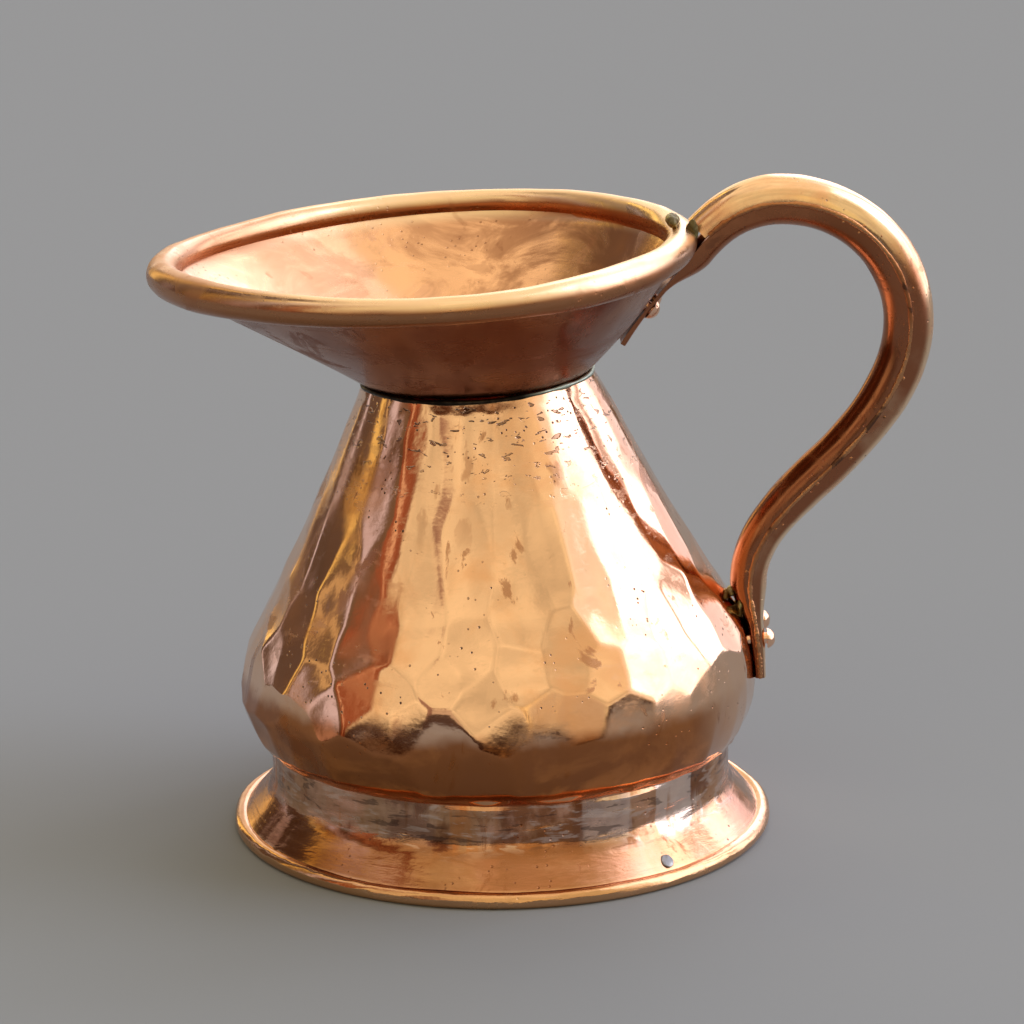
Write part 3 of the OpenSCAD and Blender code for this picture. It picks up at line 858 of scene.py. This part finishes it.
# %% The seam at the neck
clear_selection()
bpy.ops.mesh.primitive_torus_add(
    major_radius=neck_r + 0.1 * mm,
    minor_radius=0.62 * mm,
    major_segments=256,
    minor_segments=14,
    location=(0, 0, neck_h + 0.1 * mm),
)
neck_seam = bpy.context.object
neck_seam.name = "neck_seam"
neck_seam.data.name = "neck_seam"
tidy_mesh(neck_seam)
seam_points = points_of(neck_seam)
seam_points += normals_of(neck_seam) * (0.16 * mm * waves(seam_points, 9 * mm, 91))[:, None]
seam_points[:, 2] += 0.25 * mm * waves(seam_points, 38 * mm, 92)
put_points(neck_seam, lean_over(seam_points))
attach(neck_seam, "root")
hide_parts("neck_solder")

# %% [markdown]
# ## The plug in the foot
#
# A small lead plug fills a hole in the flange. It is a turned button with a rounded edge,
# tilted to lie in the slope of the flange, and left blank.

# %% Turn and place the plug
plug_low, plug_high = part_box("foot_plug")
plug_middle = (plug_low + plug_high) / 2
plug_turn = math.atan2(plug_middle.y, plug_middle.x)
plug_tilt = math.radians(90 - flange_slope)
plug_r, plug_h = 1.97 * mm, 1.55 * mm
plug_outline = (
    [(0.05 * mm, plug_h / 2 + 0.15 * mm), (0.8 * mm, plug_h / 2 + 0.1 * mm)]
    + arc_points((plug_r - 0.3 * mm, plug_h / 2 - 0.3 * mm), 0.3 * mm, 90, 0, 5)
    + [(plug_r, -plug_h / 2), (0.05 * mm, -plug_h / 2)]
)
plug = turned("lead_plug", plug_outline, 32, closed=False)
fill_poles(plug)
plug_points = points_of(plug)
put_points(plug, plug_points + normals_of(plug) * (0.05 * mm * waves(plug_points, 1.5 * mm, 95))[:, None])
plug.matrix_world = (
    Matrix.Translation(plug_middle) @ Matrix.Rotation(plug_turn, 4, "Z") @ Matrix.Rotation(plug_tilt, 4, "Y")
)
tidy_mesh(plug, 50)
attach(plug, "root")
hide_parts("foot_plug")

# %% [markdown]
# ## Materials
#
# Polished copper has no colour of its own but a tint on what it mirrors, so a copper shader
# is a metallic Principled BSDF with a tint, and everything interesting is in how the tint and
# the roughness vary. The same few layers make every finish here: a cloudy tarnish, brown
# stains, dark pits and fine scratches. Each layer is a noise on the Object coordinates, which
# are metres here, so a scale of 50 gives features about 20 mm across.


# %% Node helpers
class Finish:
    """A material under construction: it adds nodes and wires them up in a few words."""

    def __init__(self, name):
        self.material = bpy.data.materials.new(name)
        self.material.use_nodes = True
        self.nodes = self.material.node_tree.nodes
        self.links = self.material.node_tree.links
        self.shader = self.nodes["Principled BSDF"]
        self.place = self.nodes.new("ShaderNodeTexCoord").outputs["Object"]

    def stretched(self, scale, offset=(0, 0, 0)):
        node = self.nodes.new("ShaderNodeMapping")
        node.inputs["Scale"].default_value = scale
        node.inputs["Location"].default_value = offset
        self.links.new(self.place, node.inputs["Vector"])
        return node.outputs["Vector"]

    def noise(self, vector, scale, detail=4.0, rough=0.55, warp=0.0):
        node = self.nodes.new("ShaderNodeTexNoise")
        node.inputs["Scale"].default_value = scale
        node.inputs["Detail"].default_value = detail
        node.inputs["Roughness"].default_value = rough
        node.inputs["Distortion"].default_value = warp
        self.links.new(vector, node.inputs["Vector"])
        return node.outputs["Fac"]

    def cells(self, vector, scale):
        node = self.nodes.new("ShaderNodeTexVoronoi")
        node.inputs["Scale"].default_value = scale
        self.links.new(vector, node.inputs["Vector"])
        return node.outputs["Distance"]

    def between(self, value, low, high, to_low=0.0, to_high=1.0):
        node = self.nodes.new("ShaderNodeMapRange")
        node.interpolation_type = "SMOOTHSTEP"
        for socket, number in zip(("From Min", "From Max", "To Min", "To Max"), (low, high, to_low, to_high)):
            node.inputs[socket].default_value = number
        self.links.new(value, node.inputs["Value"])
        return node.outputs["Result"]

    def math(self, kind, a, b):
        node = self.nodes.new("ShaderNodeMath")
        node.operation = kind
        for socket, value in zip(node.inputs, (a, b)):
            if isinstance(value, (int, float)):
                socket.default_value = value
            else:
                self.links.new(value, socket)
        return node.outputs["Value"]

    def mix(self, factor, below, above):
        node = self.nodes.new("ShaderNodeMix")
        node.data_type = "RGBA"
        self.links.new(factor, node.inputs["Factor"])
        for socket, colour in ((node.inputs[6], below), (node.inputs[7], above)):
            if isinstance(colour, tuple):
                socket.default_value = (*colour, 1)
            else:
                self.links.new(colour, socket)
        return node.outputs[2]

    def height(self):
        node = self.nodes.new("ShaderNodeSeparateXYZ")
        self.links.new(self.place, node.inputs[0])
        return node.outputs

    def bump(self, value, depth, below=None):
        node = self.nodes.new("ShaderNodeBump")
        node.inputs["Distance"].default_value = depth
        self.links.new(value, node.inputs["Height"])
        if below is not None:
            self.links.new(below, node.inputs["Normal"])
        return node.outputs["Normal"]

    def finish(self, colour, roughness, normal, metallic=1.0):
        self.shader.inputs["Metallic"].default_value = metallic
        self.links.new(colour, self.shader.inputs["Base Color"])
        self.links.new(roughness, self.shader.inputs["Roughness"])
        self.links.new(normal, self.shader.inputs["Normal"])
        return self.material


# %% Tints of copper
fresh = (0.93, 0.60, 0.40)
warm = (0.88, 0.47, 0.25)
rosy = (0.90, 0.50, 0.36)
brown = (0.34, 0.125, 0.05)
# Painted dark reflection in patches on the foot's wall.
umber = (0.24, 0.075, 0.025)
# The next tint paints the dark reflection on the lower body; the one after it paints its orange patches and
# the red reflected streaks on the foot.
dark_reflection_brown = (0.38, 0.12, 0.03)
ember = (0.72, 0.26, 0.07)
# The next two tints paint light and near-black reflections on the foot's wall.
pale = (0.98, 0.80, 0.70)
reflected_black = (0.07, 0.04, 0.035)
side_brown = (0.34, 0.13, 0.065)
# The next two tints paint the rim's roll lit on top and shaded underneath; the first is also the handle's own
# bright tint.
rim_gold = (0.96, 0.70, 0.45)
rim_shade = (0.42, 0.18, 0.08)
dark = (0.10, 0.05, 0.035)
wine = (0.25, 0.07, 0.022)


# %% Layers that every copper finish has
def aged_copper(name, base, cloud, stain, cloud_amount, stain_amount, shine, scratch_scale):
    """The common layers; returns the finish with its colour, roughness and bump so far."""
    f = Finish(name)
    clouds = f.between(f.noise(f.place, 38, 6, 0.6, 0.4), 0.42, 0.68)
    colour = f.mix(f.math("MULTIPLY", clouds, cloud_amount), base, cloud)
    stains = f.between(f.noise(f.stretched((1, 1, 0.55), (3, 1, 2)), 85, 5, 0.62, 0.8), 0.60, 0.66)
    colour = f.mix(f.math("MULTIPLY", stains, stain_amount), colour, stain)
    pit_field = f.between(f.noise(f.place, 55, 3), 0.50, 0.62)
    pits = f.between(f.cells(f.place, 420), 0.16, 0.10)
    pits = f.math("MULTIPLY", pits, pit_field)
    colour = f.mix(pits, colour, dark)
    scratches = f.noise(f.stretched(scratch_scale), 1.0, 5, 0.7)
    lines = f.between(scratches, 0.56, 0.62)
    rough = f.between(clouds, 0, 1, shine, shine + 0.12)
    rough = f.math("ADD", rough, f.math("MULTIPLY", lines, 0.08))
    rough = f.math("ADD", rough, f.math("MULTIPLY", stains, 0.15))
    normal = f.bump(f.math("SUBTRACT", 1.0, pits), 0.12 * mm)
    normal = f.bump(scratches, 0.012 * mm, normal)
    normal = f.bump(f.noise(f.place, 160, 3), 0.05 * mm, normal)
    return f, colour, rough, normal


# %% The body's copper
def body_finish():
    f, colour, rough, normal = aged_copper(
        "planished copper", fresh, warm, brown, 0.8, 0.6, 0.08, (90, 90, 260)
    )
    x, y, z = f.height()
    # Painted dark reflection: below a wavy line a little above the belly, the tint turns dark brown with
    # orange patches, standing in for a dark table mirrored in the lower body. It is weaker on the window side
    # at the right, and the orange grows towards the bottom.
    wander = f.math("MULTIPLY", f.noise(f.place, 70, 3), 8 * mm)
    under = f.between(f.math("ADD", z, wander), belly_h + 11.5 * mm, belly_h + 6 * mm)
    off_window_side = f.between(x, 66 * mm, 50 * mm, 0.15, 1.0)
    glow = f.between(f.noise(f.stretched((1, 1, 1.5), (1, 4, 0)), 45, 5, 0.6, 0.5), 0.46, 0.62)
    low_glow = f.between(z, 38 * mm, 28 * mm, 0.35, 1.0)
    lower = f.mix(f.math("MULTIPLY", glow, low_glow), dark_reflection_brown, ember)
    colour = f.mix(f.math("MULTIPLY", f.math("MULTIPLY", under, off_window_side), 0.92), colour, lower)
    lip = f.between(z, foot_top + 3.2 * mm, foot_top + 2.0 * mm)
    colour = f.mix(lip, colour, warm)
    streak = f.between(f.noise(f.stretched((1, 1, 0.12)), 110, 4, 0.6), 0.57, 0.63)
    high = f.between(z, 85 * mm, 110 * mm)
    colour = f.mix(f.math("MULTIPLY", f.math("MULTIPLY", streak, high), 0.45), colour, brown)
    scars = f.between(f.noise(f.stretched((1, 1, 2.4)), 260, 3, 0.5, 0.6), 0.62, 0.66)
    near_neck = f.between(z, 100 * mm, 122 * mm)
    scars = f.math("MULTIPLY", scars, near_neck)
    colour = f.mix(f.math("MULTIPLY", scars, 0.7), colour, dark)
    normal = f.bump(f.math("SUBTRACT", 1.0, scars), 0.3 * mm, normal)
    return f.finish(colour, rough, normal)


# %% The foot's copper
def foot_finish():
    f, colour, rough, normal = aged_copper(
        "scraped copper", (0.62, 0.34, 0.18), rosy, brown, 0.8, 0.8, 0.13, (18, 18, 1100)
    )
    x, y, z = f.height()
    wall = f.between(z, 9 * mm, 13 * mm)
    # Painted reflections on the foot's wall: umber patches, red streaks towards the left, pale streaks
    # towards the right, and light glints and near-black dashes stand in for the room mirrored in the wall.
    # The dashes are also a real bump of fine scratches.
    patches = f.between(f.noise(f.stretched((1, 1, 0.8), (5, 5, 0)), 60, 5, 0.6), 0.44, 0.56)
    colour = f.mix(f.math("MULTIPLY", f.math("MULTIPLY", wall, patches), 0.8), colour, umber)
    columns = f.noise(f.stretched((1, 1, 0.12), (5, 1, 0)), 62, 4, 0.6)
    red_streaks = f.math(
        "MULTIPLY", f.between(columns, 0.50, 0.56), f.between(x, 5 * mm, -20 * mm, 0.15, 0.9)
    )
    colour = f.mix(f.math("MULTIPLY", red_streaks, wall), colour, ember)
    pale_streaks = f.math("MULTIPLY", f.between(columns, 0.45, 0.40), f.between(x, 0, 60 * mm, 0.12, 0.8))
    colour = f.mix(f.math("MULTIPLY", pale_streaks, wall), colour, pale)
    dashes = f.noise(f.stretched((1, 1, 4.5), (2, 2, 0)), 95, 4, 0.6, 0.4)
    glint_dashes = f.math("MULTIPLY", f.between(dashes, 0.54, 0.62), 0.4)
    colour = f.mix(f.math("MULTIPLY", glint_dashes, wall), colour, pale)
    dark_dashes = f.math("MULTIPLY", f.between(dashes, 0.42, 0.37), 0.55)
    colour = f.mix(f.math("MULTIPLY", dark_dashes, wall), colour, reflected_black)
    normal = f.bump(dashes, 0.15 * mm, normal)
    # Painted darker reflection on the flange: patchy dark brown, fading out towards the window side at the
    # right.
    flange_dark_patches = f.between(f.noise(f.stretched((1, 1, 3), (2, 8, 0)), 40, 5, 0.6), 0.36, 0.62, 0.55, 1.0)
    away = f.math("MULTIPLY", f.between(x, 52 * mm, 18 * mm), flange_dark_patches)
    flange = f.math("MULTIPLY", f.between(z, 15 * mm, 12 * mm), away)
    colour = f.mix(f.math("MULTIPLY", flange, 0.9), colour, (0.36, 0.145, 0.06))
    bead = f.between(z, 4.6 * mm, 3.6 * mm)
    colour = f.mix(f.math("MULTIPLY", bead, 0.75), colour, (0.78, 0.46, 0.24))
    return f.finish(colour, rough, normal)


# %% The funnel's copper
def funnel_finish():
    f, colour, rough, normal = aged_copper(
        "cloudy copper", warm, (0.70, 0.36, 0.20), brown, 1.0, 0.75, 0.20, (60, 60, 500)
    )
    facing = f.nodes.new("ShaderNodeSeparateXYZ")
    f.links.new(f.nodes.new("ShaderNodeNewGeometry").outputs["Normal"], facing.inputs[0])
    outside = f.between(facing.outputs["Z"], -0.15, -0.45)
    blotches = f.between(f.noise(f.place, 24, 4, 0.6, 0.5), 0.40, 0.62, 0.8, 1.0)
    x, y, z = f.height()
    clouds = f.between(f.noise(f.stretched((1, 1, 1.6), (7, 2, 0)), 36, 7, 0.66, 0.9), 0.41, 0.59)
    toward_handle = f.between(x, -70 * mm, 30 * mm, 0.4, 1.0)
    inside = f.math("SUBTRACT", 1.0, outside)
    cloudy = f.math("MULTIPLY", f.math("MULTIPLY", clouds, toward_handle), inside)
    colour = f.mix(f.math("MULTIPLY", inside, 0.6), colour, (0.98, 0.60, 0.35))
    colour = f.mix(f.math("MULTIPLY", cloudy, 0.8), colour, (0.34, 0.15, 0.075))
    rough = f.math("ADD", rough, f.math("MULTIPLY", cloudy, 0.12))
    colour = f.mix(f.math("MULTIPLY", outside, blotches), colour, wine)
    # Painted light and shade on the rolled rim: gold where the roll turns up, dark brown where it turns down,
    # with less gold towards the spout.
    level = f.math("ADD", z, f.math("MULTIPLY", x, -math.tan(lean)))
    on_rim = f.between(level, rim_h - 5 * mm, rim_h - 2 * mm)
    turned_up = f.between(facing.outputs["Z"], 0.05, 0.55)
    off_spout = f.between(x, -80 * mm, -35 * mm, 0.2, 1.0)
    rim_lit_and_shaded = f.mix(f.math("MULTIPLY", turned_up, off_spout), rim_shade, rim_gold)
    colour = f.mix(f.math("MULTIPLY", on_rim, 0.9), colour, rim_lit_and_shaded)
    return f.finish(colour, rough, normal)


# %% The handle's copper
def handle_finish():
    f, colour, rough, normal = aged_copper(
        "worn brown copper", rim_gold, warm, brown, 0.8, 0.3, 0.15, (250, 250, 60)
    )
    colour = brown_sides(f, colour)
    return f.finish(colour, rough, normal)


def brown_sides(f, colour):
    """Hands keep the outer face bright, and the sides go brown."""
    facing = f.nodes.new("ShaderNodeSeparateXYZ")
    f.links.new(f.nodes.new("ShaderNodeNewGeometry").outputs["Normal"], facing.inputs[0])
    side = f.between(f.math("ABSOLUTE", facing.outputs["Y"], 0), 0.55, 0.85)
    wander = f.between(f.noise(f.place, 60, 4), 0.35, 0.6, 0.75, 1.0)
    below_arch = f.between(f.height()[2], arch_z, arch_z - 12 * mm, 0.1, 1.0)
    side = f.math("MULTIPLY", f.math("MULTIPLY", side, wander), below_arch)
    return f.mix(side, colour, side_brown)


# The inner strip's dark brown is partly patina and partly painted shade, on the strip that lies on the inside
# of the handle.
def inner_strip_shade_finish():
    f, colour, rough, normal = aged_copper(
        "brown copper", (0.34, 0.12, 0.05), (0.46, 0.18, 0.08), dark, 1.0, 0.4, 0.2, (250, 250, 60)
    )
    colour = brown_sides(f, colour)
    return f.finish(colour, rough, normal)


# %% Rivets, base and braze
def rivet_finish():
    f, colour, rough, normal = aged_copper(
        "rivet copper", fresh, rosy, brown, 0.6, 0.4, 0.14, (300, 300, 300)
    )
    return f.finish(colour, rough, normal)


def dull_finish():
    f, colour, rough, normal = aged_copper(
        "dull copper", (0.45, 0.2, 0.11), brown, dark, 1.0, 0.8, 0.38, (40, 40, 40)
    )
    return f.finish(colour, rough, normal)


def braze_finish():
    f, colour, rough, normal = aged_copper(
        "braze", (0.55, 0.27, 0.13), brown, dark, 1.0, 0.9, 0.25, (200, 200, 200)
    )
    grain = f.noise(f.place, 1500, 3)
    return f.finish(colour, rough, f.bump(grain, 0.15 * mm, normal))


# %% Solder, lead and iron
def dull_metal(name, light, shade, rough_low, rough_high, grain):
    f = Finish(name)
    mottle = f.between(f.noise(f.place, 220, 5, 0.6), 0.38, 0.62)
    colour = f.mix(mottle, light, shade)
    rough = f.between(mottle, 0, 1, rough_low, rough_high)
    return f, colour, rough, f.bump(f.noise(f.place, grain, 4), 0.1 * mm)


def neck_solder_finish():
    f, colour, rough, normal = dull_metal(
        "oxidised solder", (0.05, 0.04, 0.03), (0.015, 0.012, 0.01), 0.3, 0.5, 700
    )
    x, y, z = f.height()
    right = f.between(x, 6 * mm, 16 * mm)
    colour = f.mix(right, colour, (0.34, 0.40, 0.33))
    return f.finish(colour, rough, normal)


materials = {
    "body_shell": body_finish(),
    "foot_skirt": foot_finish(),
    "funnel_mouth": funnel_finish(),
    "handle_outer_strip": handle_finish(),
    "handle_inner_strip": inner_strip_shade_finish(),
    "braze_seams": braze_finish(),
    "base_pan": dull_finish(),
    "neck_seam": neck_solder_finish(),
}
rivet_copper = rivet_finish()
green = dull_metal("green solder", (0.42, 0.38, 0.17), (0.14, 0.11, 0.05), 0.35, 0.6, 900)
green_solder = green[0].finish(*green[1:])
lead = dull_metal("lead", (0.42, 0.42, 0.42), (0.24, 0.24, 0.25), 0.35, 0.5, 1200)
lead_grey = lead[0].finish(*lead[1:])
iron = dull_metal("iron wire", (0.20, 0.17, 0.15), (0.12, 0.08, 0.06), 0.45, 0.7, 800)
iron_wire = iron[0].finish(*iron[1:])
old = dull_metal("old solder", (0.16, 0.16, 0.13), (0.07, 0.07, 0.06), 0.4, 0.6, 600)
old_solder = old[0].finish(*old[1:])


# %% Give every piece its finish
def dress(piece, material):
    piece.data.materials.clear()
    piece.data.materials.append(material)


for name, material in materials.items():
    dress(bpy.data.objects[name], material)
for rivet in rivets:
    dress(rivet, rivet_copper)
for piece in (rim_lump, heel_lump):
    dress(piece, green_solder)
dress(plug, lead_grey)
for node in ("rim_wire", "foot_wire"):
    dress(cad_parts[node], iron_wire)
for node in ("foot_solder", "base_solder"):
    dress(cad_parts[node], old_solder)

# %% [markdown]
# ## Floor and light
#
# Bright metal shows the room more than itself, so the light is designed as a room: a warm
# ceiling, a warm wall behind the viewer and another at the far side, a tall window at the
# right, and dark furniture at the left. The room is a world shader with soft-edged patches of
# colour, each given by its compass direction and its height. A noise texture makes the patches
# uneven, as real walls are. The floor is a plain sheet of paper grey.

# %% The floor
clear_selection()
bpy.ops.mesh.primitive_plane_add(size=12, location=(0, 3, 0))
floor = bpy.context.object
floor.name = "studio_floor"
bpy.ops.object.transform_apply(location=True, rotation=True, scale=True)
paper = Finish("paper floor")
paper.shader.inputs["Roughness"].default_value = 0.9
paper.shader.inputs["Specular IOR Level"].default_value = 0.0
paper_grey = (0.265, 0.295, 0.336, 1)
paper.shader.inputs["Base Color"].default_value = paper_grey
dress(floor, paper.material)

# %% The room
room = bpy.data.worlds.new("room")
room.use_nodes = True
bpy.context.scene.world = room
tree = room.node_tree
tree.nodes.clear()


def sum_node(kind, *values):
    node = tree.nodes.new("ShaderNodeMath")
    node.operation = kind
    for socket, value in zip(node.inputs, values):
        if isinstance(value, (int, float)):
            socket.default_value = value
        else:
            tree.links.new(value, socket)
    return node.outputs["Value"]


gaze = tree.nodes.new("ShaderNodeTexCoord").outputs["Generated"]
split = tree.nodes.new("ShaderNodeSeparateXYZ")
tree.links.new(gaze, split.inputs[0])
per_radian = math.degrees(1)
towards = sum_node("MULTIPLY", split.outputs["Y"], -1.0)
compass = sum_node("MULTIPLY", sum_node("ARCTAN2", split.outputs["X"], towards), per_radian)
upward = sum_node("MULTIPLY", sum_node("ARCSINE", split.outputs["Z"]), per_radian)


def edge(value, low, high):
    node = tree.nodes.new("ShaderNodeMapRange")
    node.interpolation_type = "SMOOTHSTEP"
    node.inputs["From Min"].default_value = low
    node.inputs["From Max"].default_value = high
    tree.links.new(value, node.inputs["Value"])
    return node.outputs["Result"]


def patch(below, left, right, low, high, colour, soft):
    """Paints one patch: from left to right by the compass (0 is the viewer), from low to high."""
    mask = edge(compass, left - soft, left + soft)
    mask = sum_node("MULTIPLY", mask, edge(compass, right + soft, right - soft))
    mask = sum_node("MULTIPLY", mask, edge(upward, low - soft, low + soft))
    mask = sum_node("MULTIPLY", mask, edge(upward, high + soft, high - soft))
    node = tree.nodes.new("ShaderNodeMix")
    node.data_type = "RGBA"
    node.clamp_result = False
    tree.links.new(mask, node.inputs["Factor"])
    if isinstance(below, tuple):
        node.inputs[6].default_value = (*below, 1)
    else:
        tree.links.new(below, node.inputs[6])
    node.inputs[7].default_value = (*colour, 1)
    return node.outputs[2]


ceiling = (1.1, 0.92, 0.66)
gloom = (0.16, 0.10, 0.06)
window = (2.7, 2.7, 3.0)
far_wall = (1.35, 1.15, 0.88)
around = 200
patches = [
    # left, right, low, high, colour, softness
    (-around, around, 42, 95, ceiling, 10),
    (-around, -158, 2, 50, far_wall, 5),
    (156, around, 2, 50, far_wall, 5),
    (-62, 70, 3, 60, (0.86, 0.72, 0.46), 3),
    (-40, -29, 3, 34, (0.34, 0.20, 0.14), 2),
    (-29, -20, 3, 26, (0.62, 0.47, 0.32), 2),
    (8, 20, 5, 30, (1.08, 0.86, 0.44), 3),
    (26, 36, 3, 22, (0.70, 0.56, 0.38), 3),
    (60, 74, 0, 60, (1.15, 1.02, 0.86), 5),
    (72, 146, -3, 62, window, 3),
    (92, 94, -3, 62, (1.3, 1.15, 1.2), 1.5),
    (111, 116, -3, 62, (0.9, 0.66, 0.62), 2),
    (130, 146, -3, 62, (1.15, 1.0, 1.1), 4),
    (144, 178, 12, 46, window, 3),
    (-76, -62, -5, 60, (0.30, 0.09, 0.04), 2),
    (-71, -69, -5, 60, (0.80, 0.50, 0.30), 1),
    (-92, -85, -5, 60, (0.72, 0.64, 0.74), 2),
    (-99, -96, -5, 50, (0.60, 0.42, 0.20), 1),
    (-109, -103, -10, 50, (0.90, 0.66, 0.22), 1.5),
    (-143, -111, -12, 60, (0.12, 0.08, 0.06), 2),
    (-131, -128, -10, 50, (0.75, 0.70, 0.80), 1.5),
    (-152, -144, -10, 40, (1.9, 1.4, 0.50), 2),
    (-60, 62, -2, 4, (0.07, 0.04, 0.03), 1.5),
]
glow = gloom
for left, right, low, high, colour, soft in patches:
    glow = patch(glow, left, right, low, high, colour, soft)
mottle = tree.nodes.new("ShaderNodeTexNoise")
mottle.inputs["Scale"].default_value = 5.0
mottle.inputs["Detail"].default_value = 4.0
tree.links.new(gaze, mottle.inputs["Vector"])
mottle_gain, mottle_base = 1.3, 0.35
uneven = sum_node("MULTIPLY_ADD", mottle.outputs["Fac"], mottle_gain, mottle_base)
background = tree.nodes.new("ShaderNodeBackground")
output = tree.nodes.new("ShaderNodeOutputWorld")
tree.links.new(glow, background.inputs["Color"])
tree.links.new(uneven, background.inputs["Strength"])
tree.links.new(background.outputs[0], output.inputs["Surface"])
bpy.context.scene.view_settings.view_transform = "Standard"

# %% [markdown]
# ## Camera
#
# A long lens, a little over a metre away and 16 degrees above the table. A small shift frames
# the jug, and a turn of less than a degree about the line of sight matches a hand-held view.

# %% The camera
elevation = math.radians(16.21)
roll = math.radians(0.7)
distance = 1.077
aim = Vector((0, 0, 70 * mm))
forward = Vector((0, math.cos(elevation), -math.sin(elevation)))
right_way, up_way = Vector((1, 0, 0)), Vector((0, math.sin(elevation), math.cos(elevation)))
right_axis = right_way * math.cos(roll) - up_way * math.sin(roll)
up_axis = right_way * math.sin(roll) + up_way * math.cos(roll)
camera_data = bpy.data.cameras.new("camera")
camera_data.lens = 136.2
camera_data.sensor_width = 36
camera_data.shift_x = 0.0126
camera_data.shift_y = 0.0638
camera_data.clip_end = 20
camera = bpy.data.objects.new("camera", camera_data)
bpy.context.scene.collection.objects.link(camera)
turn = Matrix((right_axis, up_axis, -forward)).transposed().to_4x4()
camera.matrix_world = Matrix.Translation(aim - forward * distance) @ turn
bpy.context.scene.camera = camera
